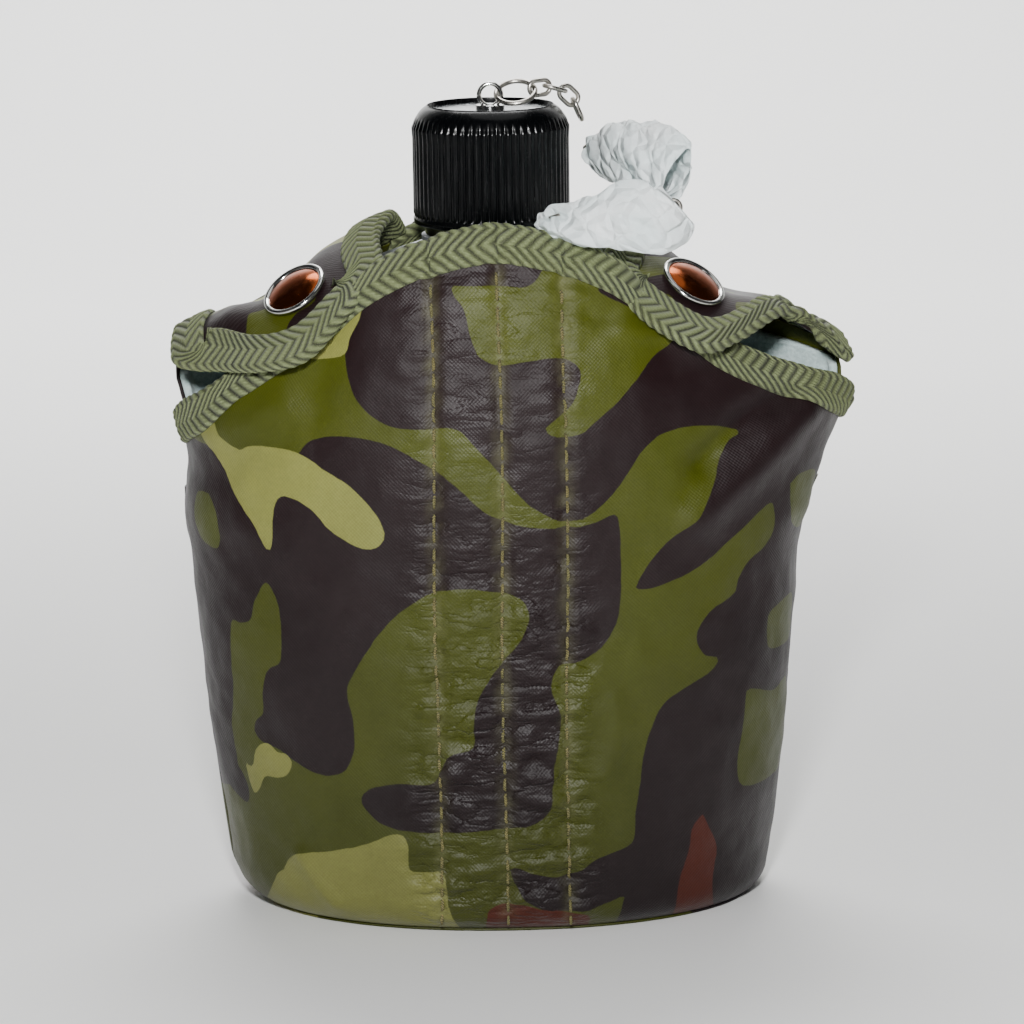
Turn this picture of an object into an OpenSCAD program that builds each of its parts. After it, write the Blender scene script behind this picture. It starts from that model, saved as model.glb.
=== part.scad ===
// Belt canteen: a kidney-shaped aluminium bottle with a ribbed screw cap on a chain,
// carried in a lined fabric cover that closes over the shoulders with two snapped flaps.
// +Z is up and -Y is the front. The origin is the middle of the face it stands on.

/* [Bottle] */
// Width of the bottle at its shoulders
bottle_w = 140; // [120:1:165]
// Thickness of the bottle, front to back
bottle_d = 72; // [62:1:86]
// Height at which the shoulders start to curve in
shoulder_z = 102; // [85:1:122]
// Height of the shoulder dome above that
dome_h = 60; // [50:1:70]
// Sheet thickness of the bottle
bottle_wall = 1.2; // [0.8:0.1:2]
// Width at the foot, as a share of the full width
foot_share = 0.88; // [0.8:0.01:0.95]
// Radius of the bottle's lower edge
foot_r = 10; // [6:1:14]
// How far the sides curve back to follow the hip
hip_curve = 6; // [0:1:10]

/* [Neck and cap] */
// Radius of the drinking hole
mouth_r = 11.5; // [9:0.5:12.5]
// Radius of the neck under its thread
neck_r = 14; // [13.5:0.5:15]
// Height of the neck above the dome
neck_h = 24; // [20:1:28]
// Pitch of the thread
thread_pitch = 4.5; // [4:0.5:6]
// Depth of each thread ridge
thread_depth = 1.3; // [1:0.1:1.5]
// Play between the neck's ridge and the cap's bore, and the cap's ridge and the neck
thread_play = 0.8; // [0.6:0.1:1]
// Wall of the cap's skirt
cap_wall = 2.6; // [2:0.1:3.5]
// Height of the cap
cap_h = 28.2; // [26:0.1:34]
// Number of grip ribs
rib_count = 60; // [40:2:72]
// Height of a grip rib
rib_out = 0.55; // [0.3:0.05:0.9]

/* [Cover] */
// Thickness of the outer fabric
fabric_t = 0.8; // [0.6:0.1:1.2]
// Thickness of the felt lining
lining_t = 1.8; // [1.2:0.1:2.5]
// Gap left between layers
layer_gap = 0.15; // [0.1:0.05:0.3]
// How far the loose upper corners stand out at the sides
ear_out = 5.5; // [3:0.5:8]
// Width of the edge tape on each face
tape_w = 8; // [5:0.5:10]
// Thickness of the folded edge tape
tape_t = 2.2; // [1.8:0.1:3]

/* [Snaps] */
// Radius of the bright snap cap
snap_r = 8; // [6:0.5:9]
// Height of the socket that grips the stud
socket_h = 2.4; // [2:0.1:3]

/* [Belt loops] */
// Width of the webbing
loop_w = 26; // [20:1:32]
// Length of each loop
loop_len = 78; // [60:1:90]
// Room for the belt behind the webbing
loop_gap = 7; // [5:0.5:8]
// Thickness of the webbing
loop_t = 1.8; // [1.2:0.1:2.4]
// Distance from one loop's middle to the other's
loop_spacing = 62; // [50:1:70]

/* [Chain] */
// Wire thickness of a link
wire_d = 1.1; // [0.9:0.1:1.3]
// Outer length of a link
link_len = 6.4; // [5.8:0.1:7]
// Outer width of a link
link_wide = 4.5; // [4.2:0.1:5]

/* [Hidden] */
$fn = 48;

squareness = 2.2;
width_curve = 2.05;
depth_curve = 2.4;
bottle_columns = 40;
lap = 3;
wide = bottle_w / 2;
deep = bottle_d / 2;
// The cover's floor and its felt lie under the bottle.
floor_z = fabric_t + lining_t + 3 * layer_gap;
dome_top = shoulder_z + dome_h;
seam_z = shoulder_z - 6;
// Distance from each flap's fold line to the cloth on either side of it.
fold_gap = 1.4;
// Distance from the bottle to the outside of the cover.
cover_out = fabric_t + lining_t + 3 * layer_gap;

// ---------- curves and surfaces ----------

function mix(a, b, k) = a + (b - a) * k;
function signed_pow(v, e) = sign(v) * pow(abs(v), e);
function smooth(k) = let (c = min(1, max(0, k))) c * c * (3 - 2 * c);
function soft_max(a, b) = pow(pow(a, 4) + pow(b, 4), 0.25);
function unit(v) = v / norm(v);

// A point on a smooth curve through pts, where k runs from 0 to 1.
function along(pts, k) =
    let (n = len(pts) - 1, s = min(n - 1, floor(k * n)), f = k * n - s,
        a = pts[max(0, s - 1)], b = pts[s], c = pts[s + 1], d = pts[min(n, s + 2)])
    0.5 * (2 * b + (c - a) * f + (2 * a - 5 * b + 4 * c - d) * f * f
        + (3 * b - a - 3 * c + d) * f * f * f);

// Mirrors a list of points drawn for the right-hand side.
function flip_x(p) = [-p[0], p[1], p[2]];
function flip_grid(g) = [for (row = g) [for (i = [len(row) - 1:-1:0]) flip_x(row[i])]];

// Outward normal at one place of a grid of points.
function grid_normal(g, r, c) =
    let (rows = len(g) - 1, cols = len(g[0]) - 1,
        du = g[r][min(cols, c + 1)] - g[r][max(0, c - 1)],
        dv = g[min(rows, r + 1)][c] - g[max(0, r - 1)][c])
    unit(cross(du, dv));
function offset_grid(g, d) =
    [for (r = [0:len(g) - 1]) [for (c = [0:len(g[0]) - 1]) g[r][c] + d * grid_normal(g, r, c)]];

// A closed sheet between an outer and an inner grid of points.
module between(outer, inner) {
    rows = len(outer);
    cols = len(outer[0]);
    all = rows * cols;
    top = function (r, c) r * cols + c;
    low = function (r, c) all + r * cols + c;
    faces = concat(
        [for (r = [0:rows - 2], c = [0:cols - 2]) each [
            [top(r, c), top(r + 1, c), top(r + 1, c + 1)],
            [top(r, c), top(r + 1, c + 1), top(r, c + 1)],
            [low(r, c), low(r + 1, c + 1), low(r + 1, c)],
            [low(r, c), low(r, c + 1), low(r + 1, c + 1)]]],
        [for (r = [0:rows - 2]) each [
            [top(r, 0), low(r, 0), low(r + 1, 0)],
            [top(r, 0), low(r + 1, 0), top(r + 1, 0)],
            [top(r, cols - 1), low(r + 1, cols - 1), low(r, cols - 1)],
            [top(r, cols - 1), top(r + 1, cols - 1), low(r + 1, cols - 1)]]],
        [for (c = [0:cols - 2]) each [
            [top(0, c), low(0, c + 1), low(0, c)],
            [top(0, c), top(0, c + 1), low(0, c + 1)],
            [top(rows - 1, c), low(rows - 1, c), low(rows - 1, c + 1)],
            [top(rows - 1, c), low(rows - 1, c + 1), top(rows - 1, c + 1)]]]);
    polyhedron(points = concat([for (row = outer) each row], [for (row = inner) each row]),
        faces = faces);
}
module sheet(g, t) {
    between(g, offset_grid(g, -t));
}

// ---------- the bottle's form ----------

function taper(z) = mix(foot_share, 1, sin(90 * min(1, z / shoulder_z)));
function foot_inset(h) = h < foot_r ? foot_r - sqrt(foot_r * foot_r - pow(foot_r - h, 2)) : 0;
function rise(z) = min(1, max(0, (z - shoulder_z) / dome_h));
function closing(z, p) = pow(max(0, 1 - pow(rise(z), p)), 1 / p);
function half(size, z, p) =
    z < shoulder_z
        ? size * taper(z) - foot_inset(z - floor_z)
        : soft_max(size * closing(z, p), neck_r + 2);
function ring_point(w, d, z, a, hip) =
    let (x = w * signed_pow(cos(a), 2 / squareness), y = d * signed_pow(sin(a), 2 / squareness))
    [x, y + hip * pow(x / wide, 2), z];
function bottle_point(z, a, less = 0) =
    ring_point(half(wide, z, width_curve) - less, half(deep, z, depth_curve) - less, z, a,
        hip_curve * pow(closing(z, 2), 2));
function bottle_ring(z, less = 0) =
    [for (c = [0:bottle_columns]) bottle_point(z, 360 * c / bottle_columns, less)];

// Heights of the skin's rings: closer together at the foot and near the neck.
cup_rows = concat(
    [for (a = [0:22.5:90]) floor_z + foot_r * (1 - cos(a))],
    [for (k = [0.25:0.25:0.75]) mix(floor_z + foot_r, seam_z, k)], [seam_z]);
shoulder_rows = concat(
    [seam_z - lap, seam_z + 1], [for (a = [6:8:78]) shoulder_z + dome_h * sin(a)],
    [shoulder_z + dome_h * sin(86)]);

// A closed wall between two stacks of rings; with a floor, the lowest rings are filled in.
module ring_shell(outer, inner, floored = false) {
    rows = len(outer);
    cols = len(outer[0]) - 1;
    all = rows * cols;
    top = function (r, c) r * cols + c % cols;
    low = function (r, c) all + r * cols + c % cols;
    middle = function (g) [0, hip_curve * 0.3, g[0][0][2]];
    faces = concat(
        [for (r = [0:rows - 2], c = [0:cols - 1]) each [
            [top(r, c), top(r + 1, c), top(r + 1, c + 1)],
            [top(r, c), top(r + 1, c + 1), top(r, c + 1)],
            [low(r, c), low(r + 1, c + 1), low(r + 1, c)],
            [low(r, c), low(r, c + 1), low(r + 1, c + 1)]]],
        [for (c = [0:cols - 1]) each [
            [top(rows - 1, c), low(rows - 1, c), low(rows - 1, c + 1)],
            [top(rows - 1, c), low(rows - 1, c + 1), top(rows - 1, c + 1)]]],
        [for (c = [0:cols - 1]) each floored
            ? [[top(0, c), top(0, c + 1), 2 * all], [low(0, c + 1), low(0, c), 2 * all + 1]]
            : [[top(0, c), low(0, c + 1), low(0, c)], [top(0, c), top(0, c + 1), low(0, c + 1)]]]);
    polyhedron(points = concat(
        [for (r = [0:rows - 1], c = [0:cols - 1]) outer[r][c]],
        [for (r = [0:rows - 1], c = [0:cols - 1]) inner[r][c]],
        floored ? [middle(outer), middle(inner)] : []), faces = faces);
}
// The cup's rim tucks inside the shoulder piece, where the two are welded.
module bottle_cup() {
    necked = function (z) z > seam_z - lap - 1 ? bottle_wall + layer_gap : 0;
    rows = concat([for (z = cup_rows) if (z < seam_z - lap - 2) z],
        [seam_z - lap - 1.2, seam_z - lap - 0.4, seam_z]);
    outer = [for (z = rows) bottle_ring(z, necked(z))];
    inner = [for (i = [0:len(rows) - 1])
        let (less = bottle_wall + (i == 0 ? 0 : necked(rows[i])), lift = bottle_wall * max(0, 4 - i) / 4)
        [for (p = bottle_ring(rows[i], less)) p + [0, 0, lift]]];
    color("silver") ring_shell(outer, inner, true);
}
module bottle_shoulder() {
    outer = [for (z = shoulder_rows) bottle_ring(z)];
    inner = [for (i = [0:len(shoulder_rows) - 1]) let (z = shoulder_rows[i])
        [for (p = bottle_ring(z, bottle_wall * mix(1, 0.45, pow(rise(z), 3))))
            p - [0, 0, bottle_wall * pow(rise(z), 2)]]];
    color("silver") ring_shell(outer, inner);
}

// ---------- neck ----------

flange_z = dome_top;
flange_h = 1.2;
collar_h = 2;
mouth_z = dome_top + neck_h;
collar_z = flange_z + flange_h + layer_gap;
ridge_tip = 0.9;
ridge_root = 2;

// A helical ridge from radius root_r to radius tip_r.
module ridge(root_r, tip_r, z0, turns, phase) {
    steps = 28;
    n = floor(turns * steps);
    pts = [for (i = [0:n]) let (a = phase + 360 * i / steps, z = z0 + thread_pitch * i / steps,
            run = min(1, min(i, n - i) / 4 + 0.25), tip = mix(root_r, tip_r, run))
        each [for (q = [[root_r, -ridge_root / 2], [tip, -ridge_tip / 2],
                [tip, ridge_tip / 2], [root_r, ridge_root / 2]])
            [q[0] * cos(a), q[0] * sin(a), z + q[1]]]];
    side = [for (i = [0:n - 1], j = [0:3]) let (p = 4 * i + j, q = 4 * i + (j + 1) % 4)
        each [[p, p + 4, q + 4], [p, q + 4, q]]];
    ends = [[0, 1, 2], [0, 2, 3], [4 * n, 4 * n + 2, 4 * n + 1], [4 * n, 4 * n + 3, 4 * n + 2]];
    shown = tip_r < root_r ? concat(side, ends) : [for (f = concat(side, ends)) [f[0], f[2], f[1]]];
    polyhedron(points = pts, faces = shown);
}
thread_z = collar_z + collar_h + 5;
module neck_spout() {
    color("silver") {
        difference() {
            union() {
                translate([0, 0, flange_z]) cylinder(r = neck_r + 2.6, h = flange_h);
                translate([0, 0, flange_z]) cylinder(r = neck_r, h = neck_h);
            }
            translate([0, 0, flange_z - 1]) cylinder(r = mouth_r, h = neck_h + 2);
        }
        ridge(neck_r + 0.02, neck_r + thread_depth, thread_z, 2, 0);
    }
}

// ---------- collar round the neck, with an eye for the chain ----------

eye_angle = -63;
eye_out = 21.2;
module neck_collar() {
    color("gainsboro") difference() {
        union() {
            translate([0, 0, collar_z]) cylinder(r = neck_r + 1.8, h = collar_h);
            rotate(eye_angle) translate([eye_out, 0, collar_z]) cylinder(r = 3, h = collar_h);
            rotate(eye_angle) translate([neck_r + 0.5, -2, collar_z])
                cube([eye_out - neck_r - 0.5, 4, collar_h]);
        }
        translate([0, 0, collar_z - 1]) cylinder(r = neck_r + 0.05, h = collar_h + 2);
        rotate(eye_angle) translate([eye_out, 0, collar_z - 1]) cylinder(r = 1.5, h = collar_h + 2);
    }
}

// The split ring that ties the chain to the collar's eye.
module collar_ring() {
    color("gainsboro") rotate(eye_angle) translate([eye_out + 2, 0, collar_z + collar_h / 2])
        rotate([90, 0, 0]) torus(2.6, 0.5);
}

// ---------- cap ----------

cap_z = collar_z + collar_h + 0.6;
cap_bore = neck_r + thread_depth + thread_play;
cap_r = cap_bore + cap_wall - rib_out;
cap_top = cap_z + cap_h;
gasket_t = 1.5;
ceiling_z = mouth_z + gasket_t + 0.1;
recess_r = cap_r - 3.4;
recess_z = cap_top - 2.2;
disc_t = 0.6;
round_r = 6;
post_r = 1.8;
module cap_shell() {
    color([0.05, 0.05, 0.06]) difference() {
        union() {
            translate([0, 0, cap_z]) cylinder(r = cap_r, h = cap_h - round_r);
            translate([0, 0, cap_top - round_r]) cylinder(r = cap_r - 1, h = round_r - 1.6);
            translate([0, 0, cap_top - round_r]) rotate_extrude() intersection() {
                square([cap_r, round_r]);
                union() {
                    square([cap_r - round_r, round_r]);
                    translate([cap_r - round_r, 0]) circle(r = round_r);
                }
            }
            translate([0, 0, cap_z + 2.6]) linear_extrude(cap_h - round_r - 3.2) ribs();
        }
        translate([0, 0, cap_z - 1]) cylinder(r = cap_bore, h = ceiling_z - cap_z + 1);
        translate([0, 0, recess_z]) cylinder(r = recess_r, h = 5);
        cylinder(r = post_r + 0.06, h = cap_top + 5);
    }
    color([0.05, 0.05, 0.06])
        ridge(cap_bore - 0.02, cap_bore - thread_depth, thread_z, 1.6, 180);
}
module ribs() {
    step = 360 / rib_count;
    polygon([for (i = [0:rib_count - 1]) each [for (q = [[0, rib_out], [0.3, rib_out],
            [0.5, 0.02], [0.8, 0.02]])
        (cap_r + q[1]) * [cos((i + q[0]) * step), sin((i + q[0]) * step)]]]);
}
module cap_top_disc() {
    color("lightgray") difference() {
        translate([0, 0, recess_z + 0.02]) cylinder(r = recess_r - 0.1, h = disc_t);
        cylinder(r = post_r + 0.06, h = cap_top + 5);
    }
}
module cap_gasket() {
    color("dimgray") translate([0, 0, mouth_z + 0.05]) difference() {
        cylinder(r = cap_bore - 0.3, h = gasket_t);
        translate([0, 0, -1]) cylinder(r = 6, h = gasket_t + 2);
    }
}

// ---------- swivel post and ring on the cap ----------

washer_z = recess_z + disc_t + 0.1;
eye_r = 2.6;
eye_z = washer_z + 0.8 + eye_r - 0.3;
module swivel_post() {
    color("gainsboro") {
        translate([0, 0, ceiling_z - 1]) cylinder(r = 4, h = 0.9);
        translate([0, 0, ceiling_z - 0.5]) cylinder(r = post_r, h = washer_z - ceiling_z + 1);
        translate([0, 0, washer_z]) cylinder(r = 3.4, h = 0.8);
        translate([0, 0, eye_z]) rotate([90, 0, 0]) torus(eye_r, wire_d / 2);
    }
}
module torus(big, small, a = 360) {
    rotate_extrude(angle = a) translate([big, 0]) circle(r = small);
}
ring_big = 4.6;
module swivel_ring() {
    color("gainsboro") translate([eye_r + ring_big - 1.2, 0, eye_z + 0.5])
        rotate([28, -6, 0]) torus(ring_big, 0.6);
}

// ---------- chain ----------

link_pitch = link_len - 2 * wire_d - 0.25;
module chain_link() {
    bow = (link_wide - wire_d) / 2;
    straight = link_len - link_wide;
    for (s = [0, 180]) rotate(s) {
        translate([straight / 2, 0, 0]) rotate(-90) torus(bow, wire_d / 2, 180);
        translate([-straight / 2, bow, 0]) rotate([0, 90, 0]) cylinder(d = wire_d, h = straight);
    }
}
// Arc length table of a route: [distance, point] pairs.
function measured(pts, n = 120) =
    let (p = [for (i = [0:n]) along(pts, i / n)])
    [for (i = 0, s = 0; i <= n; s = s + (i < n ? norm(p[i + 1] - p[i]) : 0), i = i + 1) [s, p[i]]];
function at_length(table, s) =
    [for (k = [0:2]) lookup(s, [for (row = table) [row[0], row[1][k]]])];
module links(route, count, first = 0) {
    table = measured(route);
    for (i = [0:count - 1]) {
        s = (i + 0.5) * link_pitch;
        c = at_length(table, s);
        t = unit(at_length(table, s + 1.5) - at_length(table, s - 1.5));
        side = unit(cross(t, [0, 0, 1]));
        up = cross(side, t);
        turned = (i + first) % 2 == 0;
        y = turned ? side : up;
        z = cross(t, y);
        multmatrix([
            [t[0], y[0], z[0], c[0]], [t[1], y[1], z[1], c[1]],
            [t[2], y[2], z[2], c[2]], [0, 0, 0, 1]]) chain_link();
    }
}
// Where the chain crosses the cap's rim, and the two arms of its wrapped slack.
rim_z = cap_top;
top_route = [
    [9.9, 0.6, rim_z + 2.8], [14.2, 2.3, rim_z + 2.9], [18.4, 3.8, rim_z + 1],
    [20.8, 4.4, rim_z - 3], [22, 4.2, rim_z - 7.5], [22.2, 3.8, rim_z - 12]];
elbow = [44, -36, rim_z - 14];
upper_route = [
    [23.4, -2, rim_z - 11], [27, -11, rim_z - 8], [32.5, -21, rim_z - 7], [38.5, -30, rim_z - 9], elbow];
eye_point = [eye_out * cos(eye_angle), eye_out * sin(eye_angle), collar_z + collar_h / 2];
lower_route = [
    eye_point + [2.4, -4.6, 3.2], eye_point + [5, -8, 6.2], eye_point + [11, -12.5, 7.4],
    eye_point + [19.5, -16, 6.2], eye_point + [28.5, -17.8, 7], elbow + [-1.5, -0.4, -2.4]];
module chain_top_links() {
    color("gainsboro") links(top_route, 4, 1);
}
module chain_upper_links() {
    color("gainsboro") links(upper_route, 8);
}
module chain_lower_links() {
    color("gainsboro") links(lower_route, 9, 1);
}

// ---------- paper wrapped round the chain's slack ----------

wrap_t = 0.7;
// A tube with an oval section along a route, from one share of it to another.
module paper_tube(route, from, to, sizes) {
    sides = 12;
    rows = 9;
    table = measured(route);
    total = table[len(table) - 1][0];
    function ringlet(i, less) =
        let (k = mix(from, to, i / rows), s = k * total, c = at_length(table, s),
            t = unit(at_length(table, s + 1) - at_length(table, s - 1)),
            side = unit(cross(t, [0, 0, 1])), up = cross(side, t),
            size = along(sizes, i / rows))
        [for (j = [0:sides]) let (a = 360 * (j % sides) / sides, bump = 1 + 0.07 * cos(3 * a + 70 * i))
            c + side * (size[0] * bump - less) * cos(a) + up * (size[1] * bump - less) * sin(a)];
    outer = [for (i = [0:rows]) ringlet(i, 0)];
    inner = [for (i = [0:rows]) ringlet(i, wrap_t)];
    ring_shell(outer, inner);
}
module wrap_upper() {
    color("white") paper_tube(upper_route, 0.08, 0.93, [[3.4, 3.8], [4.4, 6.5], [5, 7.5], [4.6, 6.5]]);
}
module wrap_lower() {
    color("white") paper_tube(lower_route, 0.2, 0.92, [[3.2, 3.6], [4, 5], [4.4, 5.6], [4.4, 5.4]]);
}

// ---------- cover ----------

cover_foot_r = 7;
bend_z = shoulder_z - 6;
panel_low = fabric_t + 0.1;
ear = function (z) ear_out * smooth((z - shoulder_z + 22) / 40);
function cover_foot(z) =
    z < cover_foot_r ? cover_foot_r - sqrt(cover_foot_r * cover_foot_r - pow(cover_foot_r - z, 2)) : 0;
function cover_half(size, z) = size * taper(min(z, shoulder_z)) + cover_out - cover_foot(z);
function cover_point(z, a, less = 0) =
    ring_point(cover_half(wide, z) + ear(z) - less, cover_half(deep, z) - less, z, a, hip_curve);
side_x = cover_half(wide, shoulder_z + 20) + ear_out;

// Places on the shoulders, for the right-hand side: shares of the way out to the side
// and of the cover's half depth, and height as a share of the dome.
function place(p) = [side_x * p[0], (deep + cover_out) * p[1], shoulder_z + dome_h * p[2]];
front_edge = [for (p = [
    [0, -0.71, 1.11], [0.19, -0.72, 1.06], [0.36, -0.70, 0.94], [0.48, -0.66, 0.80],
    [0.62, -0.59, 0.66], [0.76, -0.48, 0.53], [0.89, -0.30, 0.40], [0.965, -0.1, 0.31],
    [1, 0.06, 0.27]]) place(p)];
fold_in = place([0.28, 0.54, 0.99]);
fold_out = place([0.985, 0.38, 0.57]);
back_edge = concat(
    [place([0, 0.68, 1.09]), place([0.15, 0.62, 1.05])],
    [for (k = [0:0.25:1]) mix(fold_in, fold_out, k) - [0, 0, fold_gap]],
    [place([1, 0.26, 0.52])]);

panel_rows = [0, 0.014, 0.035, 0.065, 0.22, 0.42, 0.62, 0.82, 1];
rise_rows = [0.25, 0.5, 0.75, 1];
panel_columns = 28;
// Distance from the tape to the felt's edge.
tape_room = 1.5;
seam_a = 0.4;
// The outside of a panel, straight up to bend_z and then curving in to its edge.
// The edge is given for one side and mirrored. The last row but one is where the tape ends.
function panel_grid(edge, face) =
    let (angle = function (c) (face < 0 ? 180 : 0) + mix(seam_a, 180 - seam_a, c / panel_columns),
        edge_at = function (c)
            let (k = 2 * c / panel_columns - 1, p = along(edge, abs(k)))
            (face < 0 ? k < 0 : k > 0) ? flip_x(p) : p)
    concat(
        [for (k = panel_rows) [for (c = [0:panel_columns])
            cover_point(mix(panel_low, bend_z, k), angle(c))]],
        [for (r = [0:len(rise_rows)]) [for (c = [0:panel_columns])
            let (a = cover_point(bend_z, angle(c)), e = edge_at(c),
                m = [mix(a[0], e[0], 0.35), a[1] * 1.06, mix(a[2], e[2], 0.68)],
                taped = 1 - (tape_w + tape_room) / (norm(e - m) * 2),
                k = r < len(rise_rows) ? rise_rows[r] * taped : 1)
            (1 - k) * (1 - k) * a + 2 * k * (1 - k) * m + k * k * e]]);
front_grid = panel_grid(front_edge, -1);
back_grid = panel_grid(back_edge, 1);

module cover_front() {
    color("olivedrab") sheet(front_grid, fabric_t);
}
module cover_back() {
    color("olivedrab") sheet(back_grid, fabric_t);
}
module floor_plan(z, less) {
    polygon([for (a = [0:6:354]) let (p = cover_point(z, a, less)) [p[0], p[1]]]);
}
module cover_bottom() {
    color("darkolivegreen") linear_extrude(fabric_t) floor_plan(panel_low, 0);
}

// ---------- lining ----------

// The felt stops short of the tape at the top edge.
module felt(g) {
    keep = len(g) - 2;
    rows = [for (r = [1:keep]) g[r]];
    color("linen") between(offset_grid(rows, -fabric_t - layer_gap),
        offset_grid(rows, -fabric_t - layer_gap - lining_t));
}
module lining_front() {
    felt(front_grid);
}
module lining_back() {
    felt(back_grid);
}
module lining_bottom() {
    color("linen") translate([0, 0, fabric_t + layer_gap]) linear_extrude(lining_t)
        floor_plan(panel_low, cover_out + 0.6);
}

// ---------- folded tape on the edges ----------

tape_leg = (tape_t - fabric_t - 2 * layer_gap) / 2;
// A folded tape over the last row of a grid, from column c0 to column c1. Each quad of it is
// split the way the cloth's is, or crossed where the grid is a turned one.
module edge_tape(g, c0, c1, crossed = false) {
    last = len(g) - 1;
    u0 = -tape_leg - layer_gap;
    n0 = layer_gap;
    n1 = -fabric_t - layer_gap;
    ring = [[u0, n0 + tape_leg], [u0, n1 - tape_leg], [tape_w, n1 - tape_leg], [tape_w, n1],
        [-layer_gap, n1], [-layer_gap, n0], [tape_w, n0], [tape_w, n0 + tape_leg]];
    pts = [for (c = [c0:c1]) let (e = g[last][c], w = unit(g[last - 1][c] - e), n = grid_normal(g, last, c))
        each [for (q = ring) e + q[0] * w + q[1] * n]];
    m = c1 - c0;
    side = [for (i = [0:m - 1], j = [0:7]) let (p = 8 * i + j, q = 8 * i + (j + 1) % 8)
        each j % 4 == (crossed ? 3 : 1)
            ? [[p, q, p + 8], [q, q + 8, p + 8]] : [[p, q + 8, p + 8], [p, q, q + 8]]];
    cap = [[0, 1, 4], [0, 4, 5], [1, 2, 3], [1, 3, 4], [0, 5, 6], [0, 6, 7]];
    faces = concat(side, [for (f = cap) [f[0], f[2], f[1]]],
        [for (f = cap) [f[0] + 8 * m, f[1] + 8 * m, f[2] + 8 * m]]);
    polyhedron(points = pts, faces = faces);
}

module tape_front() {
    color("darkseagreen") edge_tape(front_grid, 0, panel_columns);
}
// The back's tape is the stretch between the two flaps.
back_taped = 4;
module tape_back() {
    middle = panel_columns / 2;
    color("darkseagreen") edge_tape(back_grid, middle - back_taped, middle + back_taped);
}

// ---------- flaps ----------

flap_columns = 14;
// Each flap's shape, from its fold to its front edge, for the right-hand side.
function flap_net(front) = [
    [for (k = [0:0.25:1]) mix(fold_in, fold_out, k) + fold_gap * flap_start],
    [for (p = [[0.335, 0.18, 1.03], [0.52, 0.13, 0.95], [0.68, 0.13, 0.775], [0.84, 0.13, 0.735],
        [1.005, 0.15, 0.65]]) place(p)],
    [for (p = [[0.385, -0.2, 1.0], [0.535, -0.33, 0.905], [0.68, -0.36, 0.79], [0.84, -0.23, 0.74],
        [1.005, -0.04, 0.62]]) place(p)],
    [for (p = front) place(p)]];
flap_start = unit([-0.1, -1, 0.35]);
flap_rows = 10;
function flap_grid(front) = let (net = flap_net(front))
    [for (r = [0:flap_rows]) [for (c = [0:flap_columns])
        along([for (row = net) along(row, c / flap_columns)], 1 - r / flap_rows)]];
right_front = [
    [0.44, -0.54, 0.955], [0.55, -0.785, 0.805], [0.68, -0.79, 0.70], [0.84, -0.55, 0.70],
    [0.995, -0.22, 0.58]];
left_front = [
    [0.43, -0.53, 0.96], [0.55, -0.785, 0.805], [0.67, -0.79, 0.675], [0.83, -0.56, 0.62],
    [0.995, -0.2, 0.54]];
module flap_cloth(g) {
    color("olive") sheet(g, fabric_t);
}
// The tape runs down the inner edge, along the front and up the outer edge.
module flap_tape(g) {
    front = [for (r = [flap_rows:-1:0]) [for (c = [flap_columns:-1:0]) g[r][c]]];
    turned = [for (c = [0:flap_columns]) [for (r = [flap_rows:-1:0]) g[r][c]]];
    back = [for (c = [flap_columns:-1:0]) [for (r = [0:flap_rows]) g[r][c]]];
    color("darkseagreen") {
        edge_tape(front, 0, flap_columns);
        edge_tape(turned, 0, flap_rows - 2, true);
        edge_tape(back, 2, flap_rows, true);
    }
}
right_grid = flap_grid(right_front);
left_grid = flip_grid(flap_grid(left_front));
module flap_right() {
    flap_cloth(right_grid);
}
module flap_left() {
    flap_cloth(left_grid);
}
module flap_tape_right() {
    flap_tape(right_grid);
}
module flap_tape_left() {
    flap_tape(left_grid);
}

// ---------- snaps ----------

// Each snap stands square to its flap, at one place of the flap's grid.
snap_row = 3;
snap_col = 5;
module at_snap(g, c) {
    p = g[snap_row][c];
    n = grid_normal(g, snap_row, c);
    x = unit(cross([0, 1, 0], n));
    y = cross(n, x);
    multmatrix([
        [x[0], y[0], n[0], p[0]], [x[1], y[1], n[1], p[1]],
        [x[2], y[2], n[2], p[2]], [0, 0, 0, 1]]) children();
}
snap_play = 0.35;
stud_h = socket_h - 0.7;
stud_r = 3;
tab_z = -fabric_t - layer_gap - socket_h - snap_play;
tab_reach = 9;
module snap_cap() {
    color("lightgray") rotate_extrude() difference() {
        intersection() {
            translate([0, -snap_r * 1.6 + 2.2]) circle(r = snap_r * 1.6);
            square([snap_r, 4]);
        }
        translate([0, -snap_r * 1.6 + 1.6]) circle(r = snap_r * 1.6);
    }
}
module snap_socket() {
    color("silver") translate([0, 0, -fabric_t - layer_gap - socket_h]) difference() {
        cylinder(r = snap_r * 0.72, h = socket_h);
        translate([0, 0, -1]) cylinder(r = stud_r + snap_play, h = stud_h + snap_play + 1);
    }
}
module snap_stud() {
    color("silver") translate([0, 0, tab_z]) {
        translate([0, 0, 0.1]) cylinder(r = stud_r - 0.5, h = stud_h - 0.1);
        translate([0, 0, 0.6]) cylinder(r = stud_r, h = stud_h - 0.7);
    }
}
module snap_post() {
    color("silver") translate([0, 0, tab_z - fabric_t - 0.9]) difference() {
        cylinder(r = snap_r * 0.6, h = 0.8);
        translate([0, 0, -1]) cylinder(r = 1.5, h = 3);
    }
}
module snap_tab() {
    color("olivedrab") translate([-snap_r * 0.8, -tab_reach, tab_z - fabric_t])
        cube([snap_r * 1.6, tab_reach + snap_r * 0.8, fabric_t]);
}
module snap_cap_right() {
    at_snap(right_grid, snap_col) snap_cap();
}
module snap_cap_left() {
    at_snap(left_grid, flap_columns - snap_col) snap_cap();
}
module snap_socket_right() {
    at_snap(right_grid, snap_col) snap_socket();
}
module snap_socket_left() {
    at_snap(left_grid, flap_columns - snap_col) snap_socket();
}
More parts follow.
